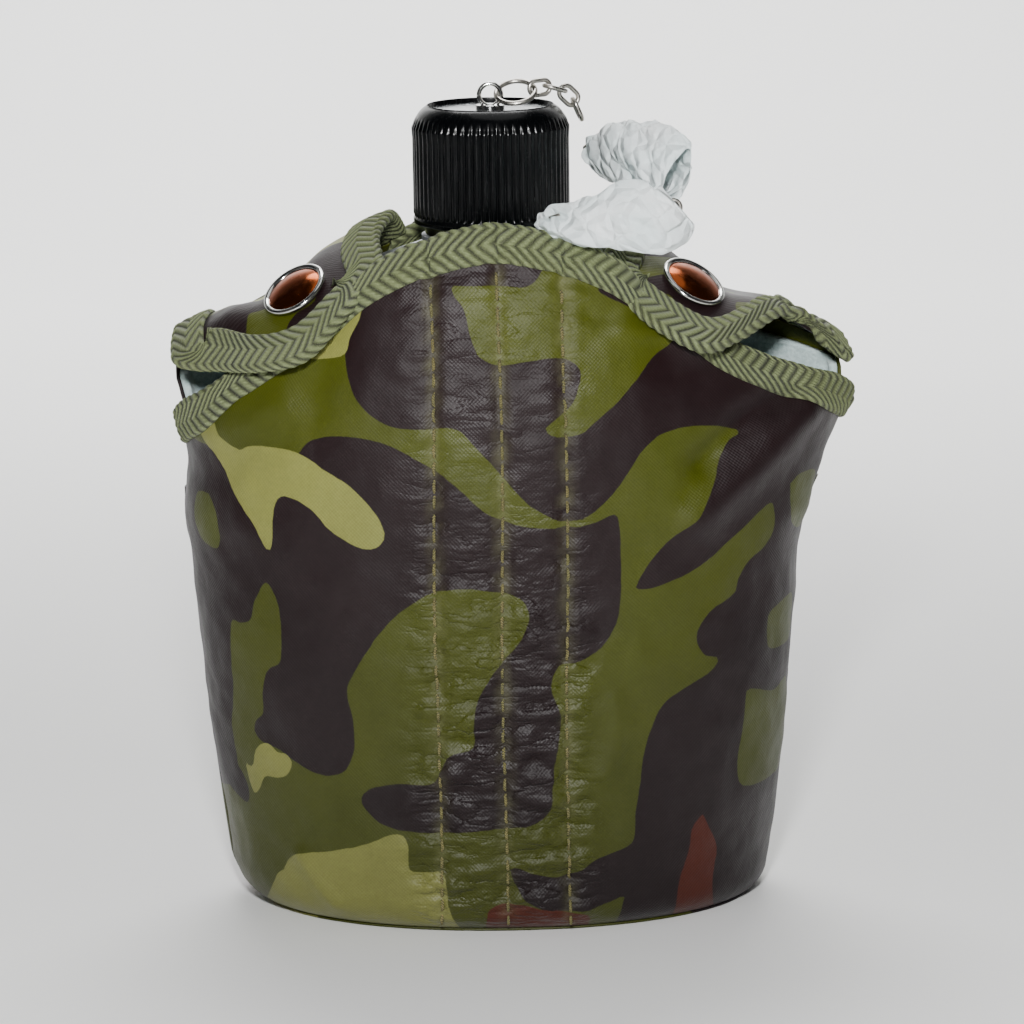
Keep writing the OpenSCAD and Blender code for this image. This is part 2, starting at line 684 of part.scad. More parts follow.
module snap_stud_right() {
    at_snap(right_grid, snap_col) snap_stud();
}
module snap_stud_left() {
    at_snap(left_grid, flap_columns - snap_col) snap_stud();
}
module snap_post_right() {
    at_snap(right_grid, snap_col) snap_post();
}
module snap_post_left() {
    at_snap(left_grid, flap_columns - snap_col) snap_post();
}
module snap_tab_right() {
    at_snap(right_grid, snap_col) snap_tab();
}
module snap_tab_left() {
    at_snap(left_grid, flap_columns - snap_col) snap_tab();
}

// ---------- belt loops ----------

loop_top = shoulder_z + 2;
loop_foot = loop_top - loop_len;
pad_h = 9;
// How far the webbing's sewn ends are drawn into the cloth.
sink = 0.3;
// The back of the cover at a height, and its slope, beside a loop's middle line.
function back_y(x, z) =
    cover_half(deep, z) * pow(1 - pow(x / cover_half(wide, z), squareness), 1 / squareness)
    + hip_curve * pow(x / wide, 2);
module belt_loop() {
    x = loop_spacing / 2;
    slope = atan((back_y(x + loop_w / 3, loop_foot) - back_y(x - loop_w / 3, loop_foot)) / (loop_w / 1.5));
    out = loop_gap + loop_t;
    foot_end = loop_foot + pad_h;
    top_end = loop_top - pad_h;
    near = function (z, dy) [z, back_y(x, z) - back_y(x, loop_foot) + dy];
    color("darkolivegreen") translate([x, back_y(x, loop_foot) - sink, 0]) rotate(slope)
        translate([loop_w / 2, 0, 0]) rotate([0, -90, 0]) linear_extrude(loop_w)
        polygon([
            near(loop_foot, 0), near(loop_foot, loop_t), near(foot_end, loop_t),
            near(foot_end + out, out + sink), near(top_end - out, out + sink), near(top_end, loop_t),
            near(loop_top, loop_t), near(loop_top, 0), near(top_end, 0),
            near(top_end - out + 0.8, loop_gap + sink), near(foot_end + out - 0.8, loop_gap + sink),
            near(foot_end, 0)]);
}
module belt_loop_right() {
    belt_loop();
}
module belt_loop_left() {
    mirror([1, 0, 0]) belt_loop();
}

bottle_cup();
bottle_shoulder();
neck_spout();
neck_collar();
collar_ring();
cap_shell();
cap_top_disc();
cap_gasket();
swivel_post();
swivel_ring();
chain_top_links();
chain_upper_links();
chain_lower_links();
wrap_upper();
wrap_lower();
cover_front();
cover_back();
cover_bottom();
lining_front();
lining_back();
lining_bottom();
tape_front();
tape_back();
snap_tab_left();
snap_tab_right();
snap_stud_left();
snap_stud_right();
snap_post_left();
snap_post_right();
flap_left();
flap_right();
flap_tape_left();
flap_tape_right();
snap_cap_left();
snap_cap_right();
snap_socket_left();
snap_socket_right();
belt_loop_left();
belt_loop_right();
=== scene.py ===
import bpy, bmesh, math
import numpy as np
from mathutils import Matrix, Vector, noise


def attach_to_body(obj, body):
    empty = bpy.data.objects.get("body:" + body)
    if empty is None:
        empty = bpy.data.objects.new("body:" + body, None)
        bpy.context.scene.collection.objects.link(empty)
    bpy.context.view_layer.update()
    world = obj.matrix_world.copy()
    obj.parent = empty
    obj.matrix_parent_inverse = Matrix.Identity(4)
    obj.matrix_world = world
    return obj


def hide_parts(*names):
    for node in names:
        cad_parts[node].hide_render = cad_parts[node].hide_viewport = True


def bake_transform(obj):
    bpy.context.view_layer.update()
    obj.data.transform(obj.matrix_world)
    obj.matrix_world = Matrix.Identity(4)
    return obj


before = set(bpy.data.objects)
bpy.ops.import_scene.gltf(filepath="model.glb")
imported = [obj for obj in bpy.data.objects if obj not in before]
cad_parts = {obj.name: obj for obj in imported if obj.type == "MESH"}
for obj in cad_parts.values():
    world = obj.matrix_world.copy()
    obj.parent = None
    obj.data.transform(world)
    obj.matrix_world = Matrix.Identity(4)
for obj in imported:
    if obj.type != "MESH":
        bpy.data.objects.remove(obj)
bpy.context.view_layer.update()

mm = 0.001
print("frame loaded")

# curves and grids, in millimetres

def along(points, k):
    p = np.asarray(points, float)
    n = len(p) - 1
    k = np.atleast_1d(np.clip(k, 0, 1)).astype(float)
    s = np.minimum(n - 1, np.floor(k * n)).astype(int)
    f = (k * n - s)[:, None]
    a, b, c, d = p[np.maximum(0, s - 1)], p[s], p[s + 1], p[np.minimum(n, s + 2)]
    return 0.5 * (2 * b + (c - a) * f + (2 * a - 5 * b + 4 * c - d) * f ** 2
                  + (3 * b - a - 3 * c + d) * f ** 3)

def smooth(k):
    c = np.clip(k, 0, 1)
    return c * c * (3 - 2 * c)

def unit(v):
    return v / np.maximum(np.linalg.norm(v, axis=-1, keepdims=True), 1e-9)

def gridNormals(g):
    return unit(np.cross(np.gradient(g, axis=1), np.gradient(g, axis=0)))

def bumps(g, size, seed):     # smooth noise over a grid of points
    flat = g.reshape(-1, 3) / size + seed * 7.3
    return np.array([noise.noise(Vector(p)) for p in flat]).reshape(g.shape[:2])

def sideOf(polygon, x, z):    # distance to a closed outline, positive inside
    pts = np.asarray(polygon, float)
    closed = along(np.vstack([pts, pts[:1]]), np.linspace(0, 1, 4 * len(pts), endpoint=False))
    far = np.full(x.shape, 1e9)
    inside = np.zeros(x.shape, bool)
    for i in range(len(closed)):
        ax, az = closed[i - 1]
        bx, bz = closed[i]
        dx, dz = bx - ax, bz - az
        t = np.clip(((x - ax) * dx + (z - az) * dz) / max(dx * dx + dz * dz, 1e-9), 0, 1)
        far = np.minimum(far, np.hypot(x - ax - t * dx, z - az - t * dz))
        if abs(dz) > 1e-9:
            crosses = ((az > z) != (bz > z)) & (x < ax + (z - az) * dx / dz)
            inside ^= crosses
    return np.where(inside, far, -far)

# objects

def addObject(name, verts, faces, material, uv=None, fields=None, flat=False, outward=False):
    mesh = bpy.data.meshes.new(name)
    mesh.from_pydata((np.asarray(verts) * mm).tolist(), [], faces)
    mesh.validate()
    if outward:
        work = bmesh.new()
        work.from_mesh(mesh)
        bmesh.ops.recalc_face_normals(work, faces=work.faces)
        work.to_mesh(mesh)
        work.free()
    if uv is not None:
        layer = mesh.uv_layers.new(name="weave")
        loops = np.zeros(len(mesh.loops), int)
        mesh.loops.foreach_get("vertex_index", loops)
        layer.data.foreach_set("uv", np.asarray(uv)[loops].ravel())
    for key, values in (fields or {}).items():
        att = mesh.attributes.new(key, "FLOAT", "POINT")
        att.data.foreach_set("value", np.asarray(values, float).ravel())
    mesh.polygons.foreach_set("use_smooth", [not flat] * len(mesh.polygons))
    obj = bpy.data.objects.new(name, mesh)
    bpy.context.collection.objects.link(obj)
    mesh.materials.append(material)
    return obj

# a closed cloth sheet between an outer and an inner grid
def addSheet(name, outer, inner, material, uv=None, fields=None, loopU=False):
    rows, cols = outer.shape[:2]
    n = rows * cols
    verts = np.vstack([outer.reshape(-1, 3), inner.reshape(-1, 3)])
    faces = []
    wrap = cols if loopU else cols - 1
    for r in range(rows - 1):
        for c in range(wrap):
            d = (c + 1) % cols
            a, b, e, f = r * cols + c, r * cols + d, (r + 1) * cols + d, (r + 1) * cols + c
            faces += [(a, b, e, f), (n + a, n + f, n + e, n + b)]
    for c in range(wrap):
        d = (c + 1) % cols
        m = (rows - 1) * cols
        faces += [(c, n + c, n + d, d), (m + d, n + m + d, n + m + c, m + c)]
    if not loopU:
        for r in range(rows - 1):
            a, b = r * cols, (r + 1) * cols
            faces += [(b, n + b, n + a, a),
                      (a + cols - 1, n + a + cols - 1, n + b + cols - 1, b + cols - 1)]
    if uv is not None:
        uv = np.vstack([uv.reshape(-1, 2)] * 2)
    both = {k: np.concatenate([v.ravel()] * 2) for k, v in (fields or {}).items()}
    return addObject(name, verts, faces, material, uv, both)

# a solid of revolution or a swept band: rings of points joined up, with filled ends
def addRings(name, rings, material, closedEnds=True, loopV=False, uv=None, fields=None):
    rows, cols = rings.shape[:2]
    verts = list(rings.reshape(-1, 3))
    faces = []
    for r in range(rows if loopV else rows - 1):
        for c in range(cols):
            d, q = (c + 1) % cols, (r + 1) % rows
            faces.append((r * cols + c, r * cols + d, q * cols + d, q * cols + c))
    if closedEnds and not loopV:
        faces.append(tuple(range(cols - 1, -1, -1)))
        faces.append(tuple((rows - 1) * cols + c for c in range(cols)))
    return addObject(name, np.array(verts), faces, material, uv, fields, outward=True)

def attach(piece, body, slot, *nodes):
    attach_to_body(piece, body)
    if nodes:
        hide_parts(*nodes)
    return piece

def turned(profile, steps, centre=(0, 0, 0)):    # (radius, height) pairs turned about +Z
    a = np.linspace(0, 2 * np.pi, steps, endpoint=False)
    p = np.asarray(profile, float)
    g = np.stack([np.outer(p[:, 0], np.cos(a)), np.outer(p[:, 0], np.sin(a)),
                  np.repeat(p[:, 1:2], steps, 1)], -1)
    return g + np.asarray(centre)

# shader groups

def nodeTree(name, sockets):
    tree = bpy.data.node_groups.new(name, "ShaderNodeTree")
    for label, inOut, kind, value in sockets:
        item = tree.interface.new_socket(label, in_out=inOut, socket_type=kind)
        if value is not None:
            item.default_value = value
    tree.nodes.new("NodeGroupInput")
    tree.nodes.new("NodeGroupOutput")
    return tree

def put(tree, kind, **settings):
    node = tree.nodes.new(kind)
    for key, value in settings.items():
        if hasattr(node, key):
            setattr(node, key, value)
    return node

def maths(tree, operation, a, b=None, c=None):
    node = tree.nodes.new("ShaderNodeMath")
    node.operation = operation
    for i, v in enumerate((a, b, c)):
        if v is None:
            continue
        if isinstance(v, (int, float)):
            node.inputs[i].default_value = v
        else:
            tree.links.new(v, node.inputs[i])
    return node.outputs[0]

def blendColour(tree, factor, a, b, mode="MIX"):
    node = tree.nodes.new("ShaderNodeMix")
    node.data_type = "RGBA"
    node.blend_type = mode
    for socket, v in ((node.inputs[0], factor), (node.inputs[6], a), (node.inputs[7], b)):
        if isinstance(v, (int, float)):
            socket.default_value = v
        elif isinstance(v, tuple):
            socket.default_value = (*v, 1)
        else:
            tree.links.new(v, socket)
    return node.outputs[2]

def mapRange(tree, value, a, b, low=0.0, high=1.0, smoothStep=False):
    node = tree.nodes.new("ShaderNodeMapRange")
    node.interpolation_type = "SMOOTHSTEP" if smoothStep else "LINEAR"
    node.inputs["From Min"].default_value = a
    node.inputs["From Max"].default_value = b
    node.inputs["To Min"].default_value = low
    node.inputs["To Max"].default_value = high
    tree.links.new(value, node.inputs["Value"])
    return node.outputs["Result"]

def noiseOn(tree, vector, scale, detail=3, roughness=0.55):
    node = tree.nodes.new("ShaderNodeTexNoise")
    node.inputs["Scale"].default_value = scale
    node.inputs["Detail"].default_value = detail
    node.inputs["Roughness"].default_value = roughness
    tree.links.new(vector, node.inputs["Vector"])
    return node.outputs["Fac"]

def colour(r, g, b):      # screen colour to linear
    return tuple(((v / 255) / 12.92 if v <= 10 else ((v / 255 + 0.055) / 1.055) ** 2.4) for v in (r, g, b))

# plain weave: threads over and under, from a uv in millimetres
def makeWeaveGroup():
    t = nodeTree("clothWeave", [("UV", "INPUT", "NodeSocketVector", None),
                                ("Threads", "INPUT", "NodeSocketFloat", 2.0),
                                ("Height", "OUTPUT", "NodeSocketFloat", None),
                                ("Shade", "OUTPUT", "NodeSocketFloat", None)])
    gi, go = t.nodes[0], t.nodes[1]
    sep = put(t, "ShaderNodeSeparateXYZ")
    t.links.new(gi.outputs["UV"], sep.inputs[0])
    waves = []
    for axis in (0, 1):
        turn = maths(t, "MULTIPLY", maths(t, "MULTIPLY", sep.outputs[axis], gi.outputs["Threads"]), math.pi)
        waves.append(maths(t, "SINE", turn))
    over = maths(t, "MULTIPLY", waves[0], waves[1])
    slub = noiseOn(t, gi.outputs["UV"], 0.9, 4)
    rough = maths(t, "ADD", maths(t, "MULTIPLY", over, 0.5), 0.5)
    t.links.new(maths(t, "ADD", rough, maths(t, "MULTIPLY", slub, 0.4)), go.inputs["Height"])
    t.links.new(maths(t, "ADD", maths(t, "MULTIPLY", rough, 0.35), maths(t, "MULTIPLY", slub, 0.65)),
                go.inputs["Shade"])
    return t

# herringbone: slanting ribs that change direction across the tape
def makeHerringboneGroup():
    t = nodeTree("herringbone", [("UV", "INPUT", "NodeSocketVector", None),
                                 ("Pitch", "INPUT", "NodeSocketFloat", 1.5),
                                 ("Band", "INPUT", "NodeSocketFloat", 3.6),
                                 ("Slant", "INPUT", "NodeSocketFloat", 1.2),
                                 ("Rib", "OUTPUT", "NodeSocketFloat", None),
                                 ("Valley", "OUTPUT", "NodeSocketFloat", None),
                                 ("Fuzz", "OUTPUT", "NodeSocketFloat", None)])
    gi, go = t.nodes[0], t.nodes[1]
    sep = put(t, "ShaderNodeSeparateXYZ")
    t.links.new(gi.outputs["UV"], sep.inputs[0])
    zig = maths(t, "PINGPONG", sep.outputs[1], gi.outputs["Band"])
    run = maths(t, "ADD", sep.outputs[0], maths(t, "MULTIPLY", zig, gi.outputs["Slant"]))
    phase = maths(t, "MULTIPLY", maths(t, "DIVIDE", run, gi.outputs["Pitch"]), 2 * math.pi)
    rib = maths(t, "ADD", maths(t, "MULTIPLY", maths(t, "SINE", phase), 0.5), 0.5)
    lean = maths(t, "MULTIPLY", sep.outputs[0], 0.3)
    strand = maths(t, "MULTIPLY", maths(t, "SUBTRACT", sep.outputs[1], lean), 7.0)
    twist = maths(t, "SINE", strand)
    fuzz = noiseOn(t, gi.outputs["UV"], 3.5, 3)
    body = maths(t, "POWER", rib, 0.7)
    strands = maths(t, "MULTIPLY", maths(t, "MULTIPLY", twist, rib), 0.16)
    t.links.new(maths(t, "ADD", body, strands), go.inputs["Rib"])
    t.links.new(maths(t, "SUBTRACT", 1.0, body), go.inputs["Valley"])
    t.links.new(fuzz, go.inputs["Fuzz"])
    return t

# fine scratches and dust for hard pieces, in object space
def makeWearGroup():
    t = nodeTree("handlingWear", [("Scale", "INPUT", "NodeSocketFloat", 60.0),
                                  ("Scratch", "OUTPUT", "NodeSocketFloat", None),
                                  ("Dust", "OUTPUT", "NodeSocketFloat", None)])
    gi, go = t.nodes[0], t.nodes[1]
    coords = put(t, "ShaderNodeTexCoord")
    stretch = put(t, "ShaderNodeMapping")
    stretch.inputs["Scale"].default_value = (1, 1, 0.12)
    t.links.new(coords.outputs["Object"], stretch.inputs["Vector"])
    for vector, label, mult in ((stretch.outputs[0], "Scratch", 18), (coords.outputs["Object"], "Dust", 2)):
        n = put(t, "ShaderNodeTexNoise")
        n.inputs["Detail"].default_value = 5
        t.links.new(maths(t, "MULTIPLY", gi.outputs["Scale"], float(mult)), n.inputs["Scale"])
        t.links.new(vector, n.inputs["Vector"])
        t.links.new(mapRange(t, n.outputs["Fac"], 0.42, 0.72), go.inputs[label])
    return t

weaveGroup, herringboneGroup, wearGroup = makeWeaveGroup(), makeHerringboneGroup(), makeWearGroup()

def newMaterial(name, **sockets):
    m = bpy.data.materials.new(name)
    m.use_nodes = True
    t = m.node_tree
    shader = t.nodes["Principled BSDF"]
    for key, value in sockets.items():
        shader.inputs[key.replace("_", " ")].default_value = value
    return m, t, shader

def addGroup(tree, group, **values):
    node = tree.nodes.new("ShaderNodeGroup")
    node.node_tree = group
    for key, value in values.items():
        if isinstance(value, (int, float)):
            node.inputs[key].default_value = value
        else:
            tree.links.new(value, node.inputs[key])
    return node

def addBump(tree, shader, layers):      # (height, strength, distance in mm) from coarse to fine
    last = None
    for height, strength, distance in layers:
        b = tree.nodes.new("ShaderNodeBump")
        b.inputs["Strength"].default_value = strength
        b.inputs["Distance"].default_value = distance * mm
        tree.links.new(height, b.inputs["Height"])
        if last:
            tree.links.new(last, b.inputs["Normal"])
        last = b.outputs[0]
    tree.links.new(last, shader.inputs["Normal"])

def readField(tree, name):
    node = tree.nodes.new("ShaderNodeAttribute")
    node.attribute_name = name
    return node.outputs["Fac"]

camouflage = {"green": (74, 80, 2), "dark": (30, 11, 14), "khaki": (146, 148, 76), "rust": (90, 28, 2)}

def makeClothMaterial():
    m, t, shader = newMaterial("camouflageNylon", Roughness=0.5, Sheen_Weight=0.06, Sheen_Roughness=0.4)
    shader.inputs["Specular IOR Level"].default_value = 0.3
    uv = t.nodes.new("ShaderNodeUVMap")
    uv.uv_map = "weave"
    coords = t.nodes.new("ShaderNodeTexCoord").outputs["Object"]
    wobble = maths(t, "MULTIPLY", maths(t, "SUBTRACT", noiseOn(t, coords, 260, 2), 0.5), 0.5)
    base = colour(*camouflage["green"])
    for field in ("dark", "khaki", "rust"):
        edge = mapRange(t, maths(t, "ADD", readField(t, field), wobble), -0.12, 0.12, smoothStep=True)
        base = blendColour(t, edge, base, colour(*camouflage[field]))
    weave = addGroup(t, weaveGroup, UV=uv.outputs[0], Threads=2.2)
    washed = noiseOn(t, coords, 55, 5)
    tone = maths(t, "ADD", maths(t, "MULTIPLY", washed, 0.5),
                 maths(t, "MULTIPLY", weave.outputs["Shade"], 0.55))
    base = blendColour(t, mapRange(t, tone, 0.2, 0.9, 0.0, 0.5), base, (0.0, 0.0, 0.0))
    base = blendColour(t, maths(t, "MULTIPLY", readField(t, "wear"), 0.25), base, colour(140, 140, 104))
    # painted shade: the cloth darkens towards the bottom, up to 45% black at 1 cm and none above 15 cm,
    # standing in for the light falling off
    height = put(t, "ShaderNodeSeparateXYZ")
    t.links.new(coords, height.inputs[0])
    base = blendColour(t, mapRange(t, height.outputs[2], 0.01, 0.15, 0.45, 0.0), base, (0.0, 0.0, 0.0))
    t.links.new(base, shader.inputs["Base Color"])
    t.links.new(mapRange(t, washed, 0.3, 0.7, 0.42, 0.6), shader.inputs["Roughness"])
    crease = noiseOn(t, coords, 320, 6, 0.65)
    squashed = put(t, "ShaderNodeMapping")
    squashed.inputs["Scale"].default_value = (0.45, 1, 1.3)
    t.links.new(coords, squashed.inputs["Vector"])
    ridge = maths(t, "ABSOLUTE", maths(t, "SUBTRACT", noiseOn(t, squashed.outputs[0], 130, 3), 0.5))
    crinkle = maths(t, "MULTIPLY", maths(t, "POWER", ridge, 0.6), readField(t, "quilt"))
    addBump(t, shader, [(noiseOn(t, coords, 120, 3), 0.35, 0.9), (crinkle, 0.75, 2.0),
                        (crease, 0.3, 0.35), (weave.outputs["Height"], 0.55, 0.09)])
    return m

# millimetres across and along, and the lean of the ribs
herringbone = {"band": 4.3, "pitch": 2.7, "slant": 1.0}

def makeTapeMaterial(name, band=herringbone["band"], pitch=herringbone["pitch"],
                     slant=herringbone["slant"], light=(112, 122, 82), deep=(8, 10, 2)):
    m, t, shader = newMaterial(name, Roughness=0.78, Sheen_Weight=0.05, Sheen_Roughness=0.5)
    uv = t.nodes.new("ShaderNodeUVMap")
    uv.uv_map = "weave"
    coords = t.nodes.new("ShaderNodeTexCoord").outputs["Object"]
    h = addGroup(t, herringboneGroup, UV=uv.outputs[0], Pitch=pitch, Band=band, Slant=slant)
    # painted shade: the ribs take the light colour and the valleys between them the deep colour, shade
    # painted into the woven rib relief
    base = blendColour(t, mapRange(t, h.outputs["Rib"], 0.05, 0.85), colour(*deep), colour(*light))
    base = blendColour(t, mapRange(t, noiseOn(t, coords, 70, 3), 0.35, 0.7, 0.0, 0.45), base,
                       colour(84, 92, 48))
    base = blendColour(t, mapRange(t, h.outputs["Fuzz"], 0.45, 0.75, 0.0, 0.3), base, colour(160, 166, 126))
    t.links.new(base, shader.inputs["Base Color"])
    addBump(t, shader, [(h.outputs["Rib"], 0.9, 0.55), (h.outputs["Fuzz"], 0.4, 0.12)])
    return m

def makeFeltMaterial():
    m, t, shader = newMaterial("paleFelt", Roughness=0.95, Sheen_Weight=0.3, Sheen_Roughness=0.7)
    coords = t.nodes.new("ShaderNodeTexCoord").outputs["Object"]
    fluff = noiseOn(t, coords, 900, 6, 0.7)
    base = blendColour(t, mapRange(t, fluff, 0.3, 0.7), colour(170, 196, 194), colour(222, 240, 238))
    t.links.new(base, shader.inputs["Base Color"])
    addBump(t, shader, [(noiseOn(t, coords, 260, 3), 0.6, 0.8), (fluff, 0.8, 0.4)])
    return m

def makePaperMaterial():
    m, t, shader = newMaterial("tissuePaper", Roughness=0.62)
    coords = t.nodes.new("ShaderNodeTexCoord").outputs["Object"]
    fibre = noiseOn(t, coords, 1400, 4)
    base = blendColour(t, mapRange(t, noiseOn(t, coords, 90, 4), 0.3, 0.7), colour(250, 254, 254),
                       colour(226, 240, 240))
    t.links.new(base, shader.inputs["Base Color"])
    vor = put(t, "ShaderNodeTexVoronoi", feature="DISTANCE_TO_EDGE")
    vor.inputs["Scale"].default_value = 190
    t.links.new(coords, vor.inputs["Vector"])
    addBump(t, shader, [(mapRange(t, vor.outputs["Distance"], 0.0, 0.25), 0.8, 0.9),
                        (noiseOn(t, coords, 420, 5, 0.7), 0.6, 0.5), (fibre, 0.25, 0.05)])
    return m

def makeHardMaterial(name, tone, rough, metal=0.0, coat=0.0, scale=60.0, dusty=0.15, scratched=0.25,
                     dust=(150, 148, 140)):
    m, t, shader = newMaterial(name, Metallic=metal, Coat_Weight=coat, Coat_Roughness=0.12)
    shader.inputs["Specular IOR Level"].default_value = 0.5 if metal else 0.28
    wear = addGroup(t, wearGroup, Scale=scale)
    dirt = maths(t, "MULTIPLY", wear.outputs["Dust"], dusty)
    scuffs = maths(t, "MULTIPLY", wear.outputs["Scratch"], scratched)
    t.links.new(blendColour(t, dirt, colour(*tone), colour(*dust)), shader.inputs["Base Color"])
    worn = maths(t, "ADD", scuffs, dirt)
    t.links.new(mapRange(t, worn, 0.0, 1.0, rough, min(1.0, rough + 0.6)), shader.inputs["Roughness"])
    addBump(t, shader, [(wear.outputs["Scratch"], 0.12, 0.05)])
    return m

cloth = makeClothMaterial()
tapeCloth = makeTapeMaterial("oliveHerringboneTape")
webbing = makeTapeMaterial("oliveWebbing", band=1.1, pitch=1.8, slant=0.8, light=(96, 104, 66),
                           deep=(34, 38, 20))
felt = makeFeltMaterial()
tissue = makePaperMaterial()
blackPlastic = makeHardMaterial("glossBlackPlastic", (1, 2, 3), 0.22, coat=0.05, dusty=0.004,
                                scratched=0.15, dust=(60, 66, 72))
brightPlate = makeHardMaterial("brightPlate", (214, 214, 210), 0.09, metal=1.0, dusty=0.05, scratched=0.2)
# painted reflection: the snap domes are chrome, and this warm brown base colour is a painted reflection of
# red surroundings
snapPaintedRedReflection = makeHardMaterial("snapPaintedRedReflection", (150, 74, 34), 0.14, metal=1.0, scale=30, dusty=0.05,
                              scratched=0.25, dust=(110, 70, 45))
discMetal = makeHardMaterial("polishedDisc", (150, 154, 158), 0.16, metal=1.0, scale=30, dusty=0.06,
                             scratched=0.2)
chainSteel = makeHardMaterial("chainSteel", (190, 186, 178), 0.25, metal=1.0, dusty=0.2, scratched=0.4)
bottleAluminium = makeHardMaterial("bottleAluminium", (176, 180, 184), 0.38, metal=1.0, scale=20,
                                   dusty=0.15, scratched=0.5)
gasketRubber = makeHardMaterial("gasketRubber", (26, 26, 27), 0.7, dusty=0.3)
thread = makeTapeMaterial("sewingThread", band=0.5, pitch=0.6, slant=1.0, light=(150, 138, 80),
                          deep=(84, 74, 36))
print("materials made")

# the form of the bottle and its cover, as the CAD solids have it

form = {"wide": 70.0, "deep": 36.0, "shoulder": 102.0, "dome": 60.0, "foot": 0.88, "square": 2.2,
        "hip": 6.0, "coverOut": 3.05, "cloth": 0.8, "footRound": 7.0, "ear": 5.5, "bend": 96.0,
        "low": 0.9, "neck": 14.0}

def taper(z):
    return form["foot"] + (1 - form["foot"]) * np.sin(np.pi / 2 * np.minimum(1, z / form["shoulder"]))

def ringPoint(w, d, z, a, hip):
    x = w * np.sign(np.cos(a)) * np.abs(np.cos(a)) ** (2 / form["square"])
    y = d * np.sign(np.sin(a)) * np.abs(np.sin(a)) ** (2 / form["square"])
    return np.stack([x, y + hip * (x / form["wide"]) ** 2, z + 0 * x], -1)

def coverHalf(size, z, r=form["footRound"]):
    foot = np.where(z < r, r - np.sqrt(np.maximum(r * r - (r - z) ** 2, 0)), 0)
    return size * taper(np.minimum(z, form["shoulder"])) + form["coverOut"] - foot

def coverPoint(z, a):
    ear = form["ear"] * smooth((z - form["shoulder"] + 22) / 40)
    r = 9.6 - 2.6 * np.cos(a)
    return ringPoint(coverHalf(form["wide"], z, r) + ear, coverHalf(form["deep"], z, r), z, a, form["hip"])

sideX = float(coverHalf(form["wide"], form["shoulder"] + 20.0)) + form["ear"]

def place(p):
    return np.array([sideX * p[0], (form["deep"] + form["coverOut"]) * p[1],
                     form["shoulder"] + form["dome"] * p[2]])

# the front panel's edge: an arch under the cap, then up under the flaps, and out to the ears
edgeShares = [(0, -0.71, 1.105), (0.19, -0.72, 1.055), (0.345, -0.68, 0.96), (0.47, -0.57, 0.80),
              (0.62, -0.52, 0.67), (0.775, -0.40, 0.55), (0.89, -0.27, 0.475), (0.965, -0.08, 0.415),
              (1, 0.06, 0.37)]
frontEdge = [place(p) for p in edgeShares]
foldIn, foldOut = place((0.28, 0.54, 0.99)), place((0.985, 0.38, 0.57))
foldLine = [foldIn + (foldOut - foldIn) * k - np.array([0, 0, 1.4]) for k in (0, 0.25, 0.5, 0.75, 1)]
backEdge = [place((0, 0.68, 1.09)), place((0.15, 0.62, 1.05))] + foldLine + [place((1, 0.26, 0.52))]

earHeights = [92, 100, 108, 115, 121, 128, 134, 142]
earPull = {"right": [0, 1.4, 3.6, 5.8, 7.4, 6.4, 3.6, 0.8],
           "left": [0, -1.0, -2.6, -3.6, -2.8, -1.8, -2.6, -4.6]}

def pullEars(g):      # the loose corners: one stands out, the other hangs in
    out = g.copy()
    for side, sign in (("right", 1), ("left", -1)):
        k = smooth((g[..., 0] * sign - 46) / 32)
        out[..., 0] += sign * k * np.interp(g[..., 2], earHeights, earPull[side])
    return out

def panelGrid(edge, face, cols, straightRows, riseRows):
    k = np.linspace(0, 1, cols)
    seam = math.radians(0.4)
    a = (math.pi if face < 0 else 0) + seam + (math.pi - 2 * seam) * k
    low = np.array([form["low"] + (form["bend"] - form["low"]) * s
                    for s in np.linspace(0, 1, straightRows) ** 1.25])
    rows = [coverPoint(np.full(cols, z), a) for z in low]
    side = 2 * k - 1
    e = along(edge, np.abs(side))
    flip = (side < 0) if face < 0 else (side > 0)
    e[flip, 0] *= -1
    if face < 0:
        e[:, 2] -= 3.0 * smooth((-e[:, 0] - 58) / 14)
    base = rows[-1]
    mid = np.stack([base[:, 0] * 0.65 + e[:, 0] * 0.35, base[:, 1] * 1.06,
                    base[:, 2] * 0.32 + e[:, 2] * 0.68], -1)
    for s in np.linspace(0, 1, riseRows + 1)[1:]:
        rows.append((1 - s) ** 2 * base + 2 * s * (1 - s) * mid + s * s * e)
    return pullEars(np.array(rows))

def lengths(g):      # millimetres along the rows and up the columns, for the weave
    across = np.cumsum(np.linalg.norm(np.diff(g, axis=1), axis=-1), 1)
    up = np.cumsum(np.linalg.norm(np.diff(g, axis=0), axis=-1), 0)
    u = np.concatenate([np.zeros((g.shape[0], 1)), across], 1)
    v = np.concatenate([np.zeros((1, g.shape[1])), up], 0)
    return np.stack([u - u[:, g.shape[1] // 2][:, None], v], -1)
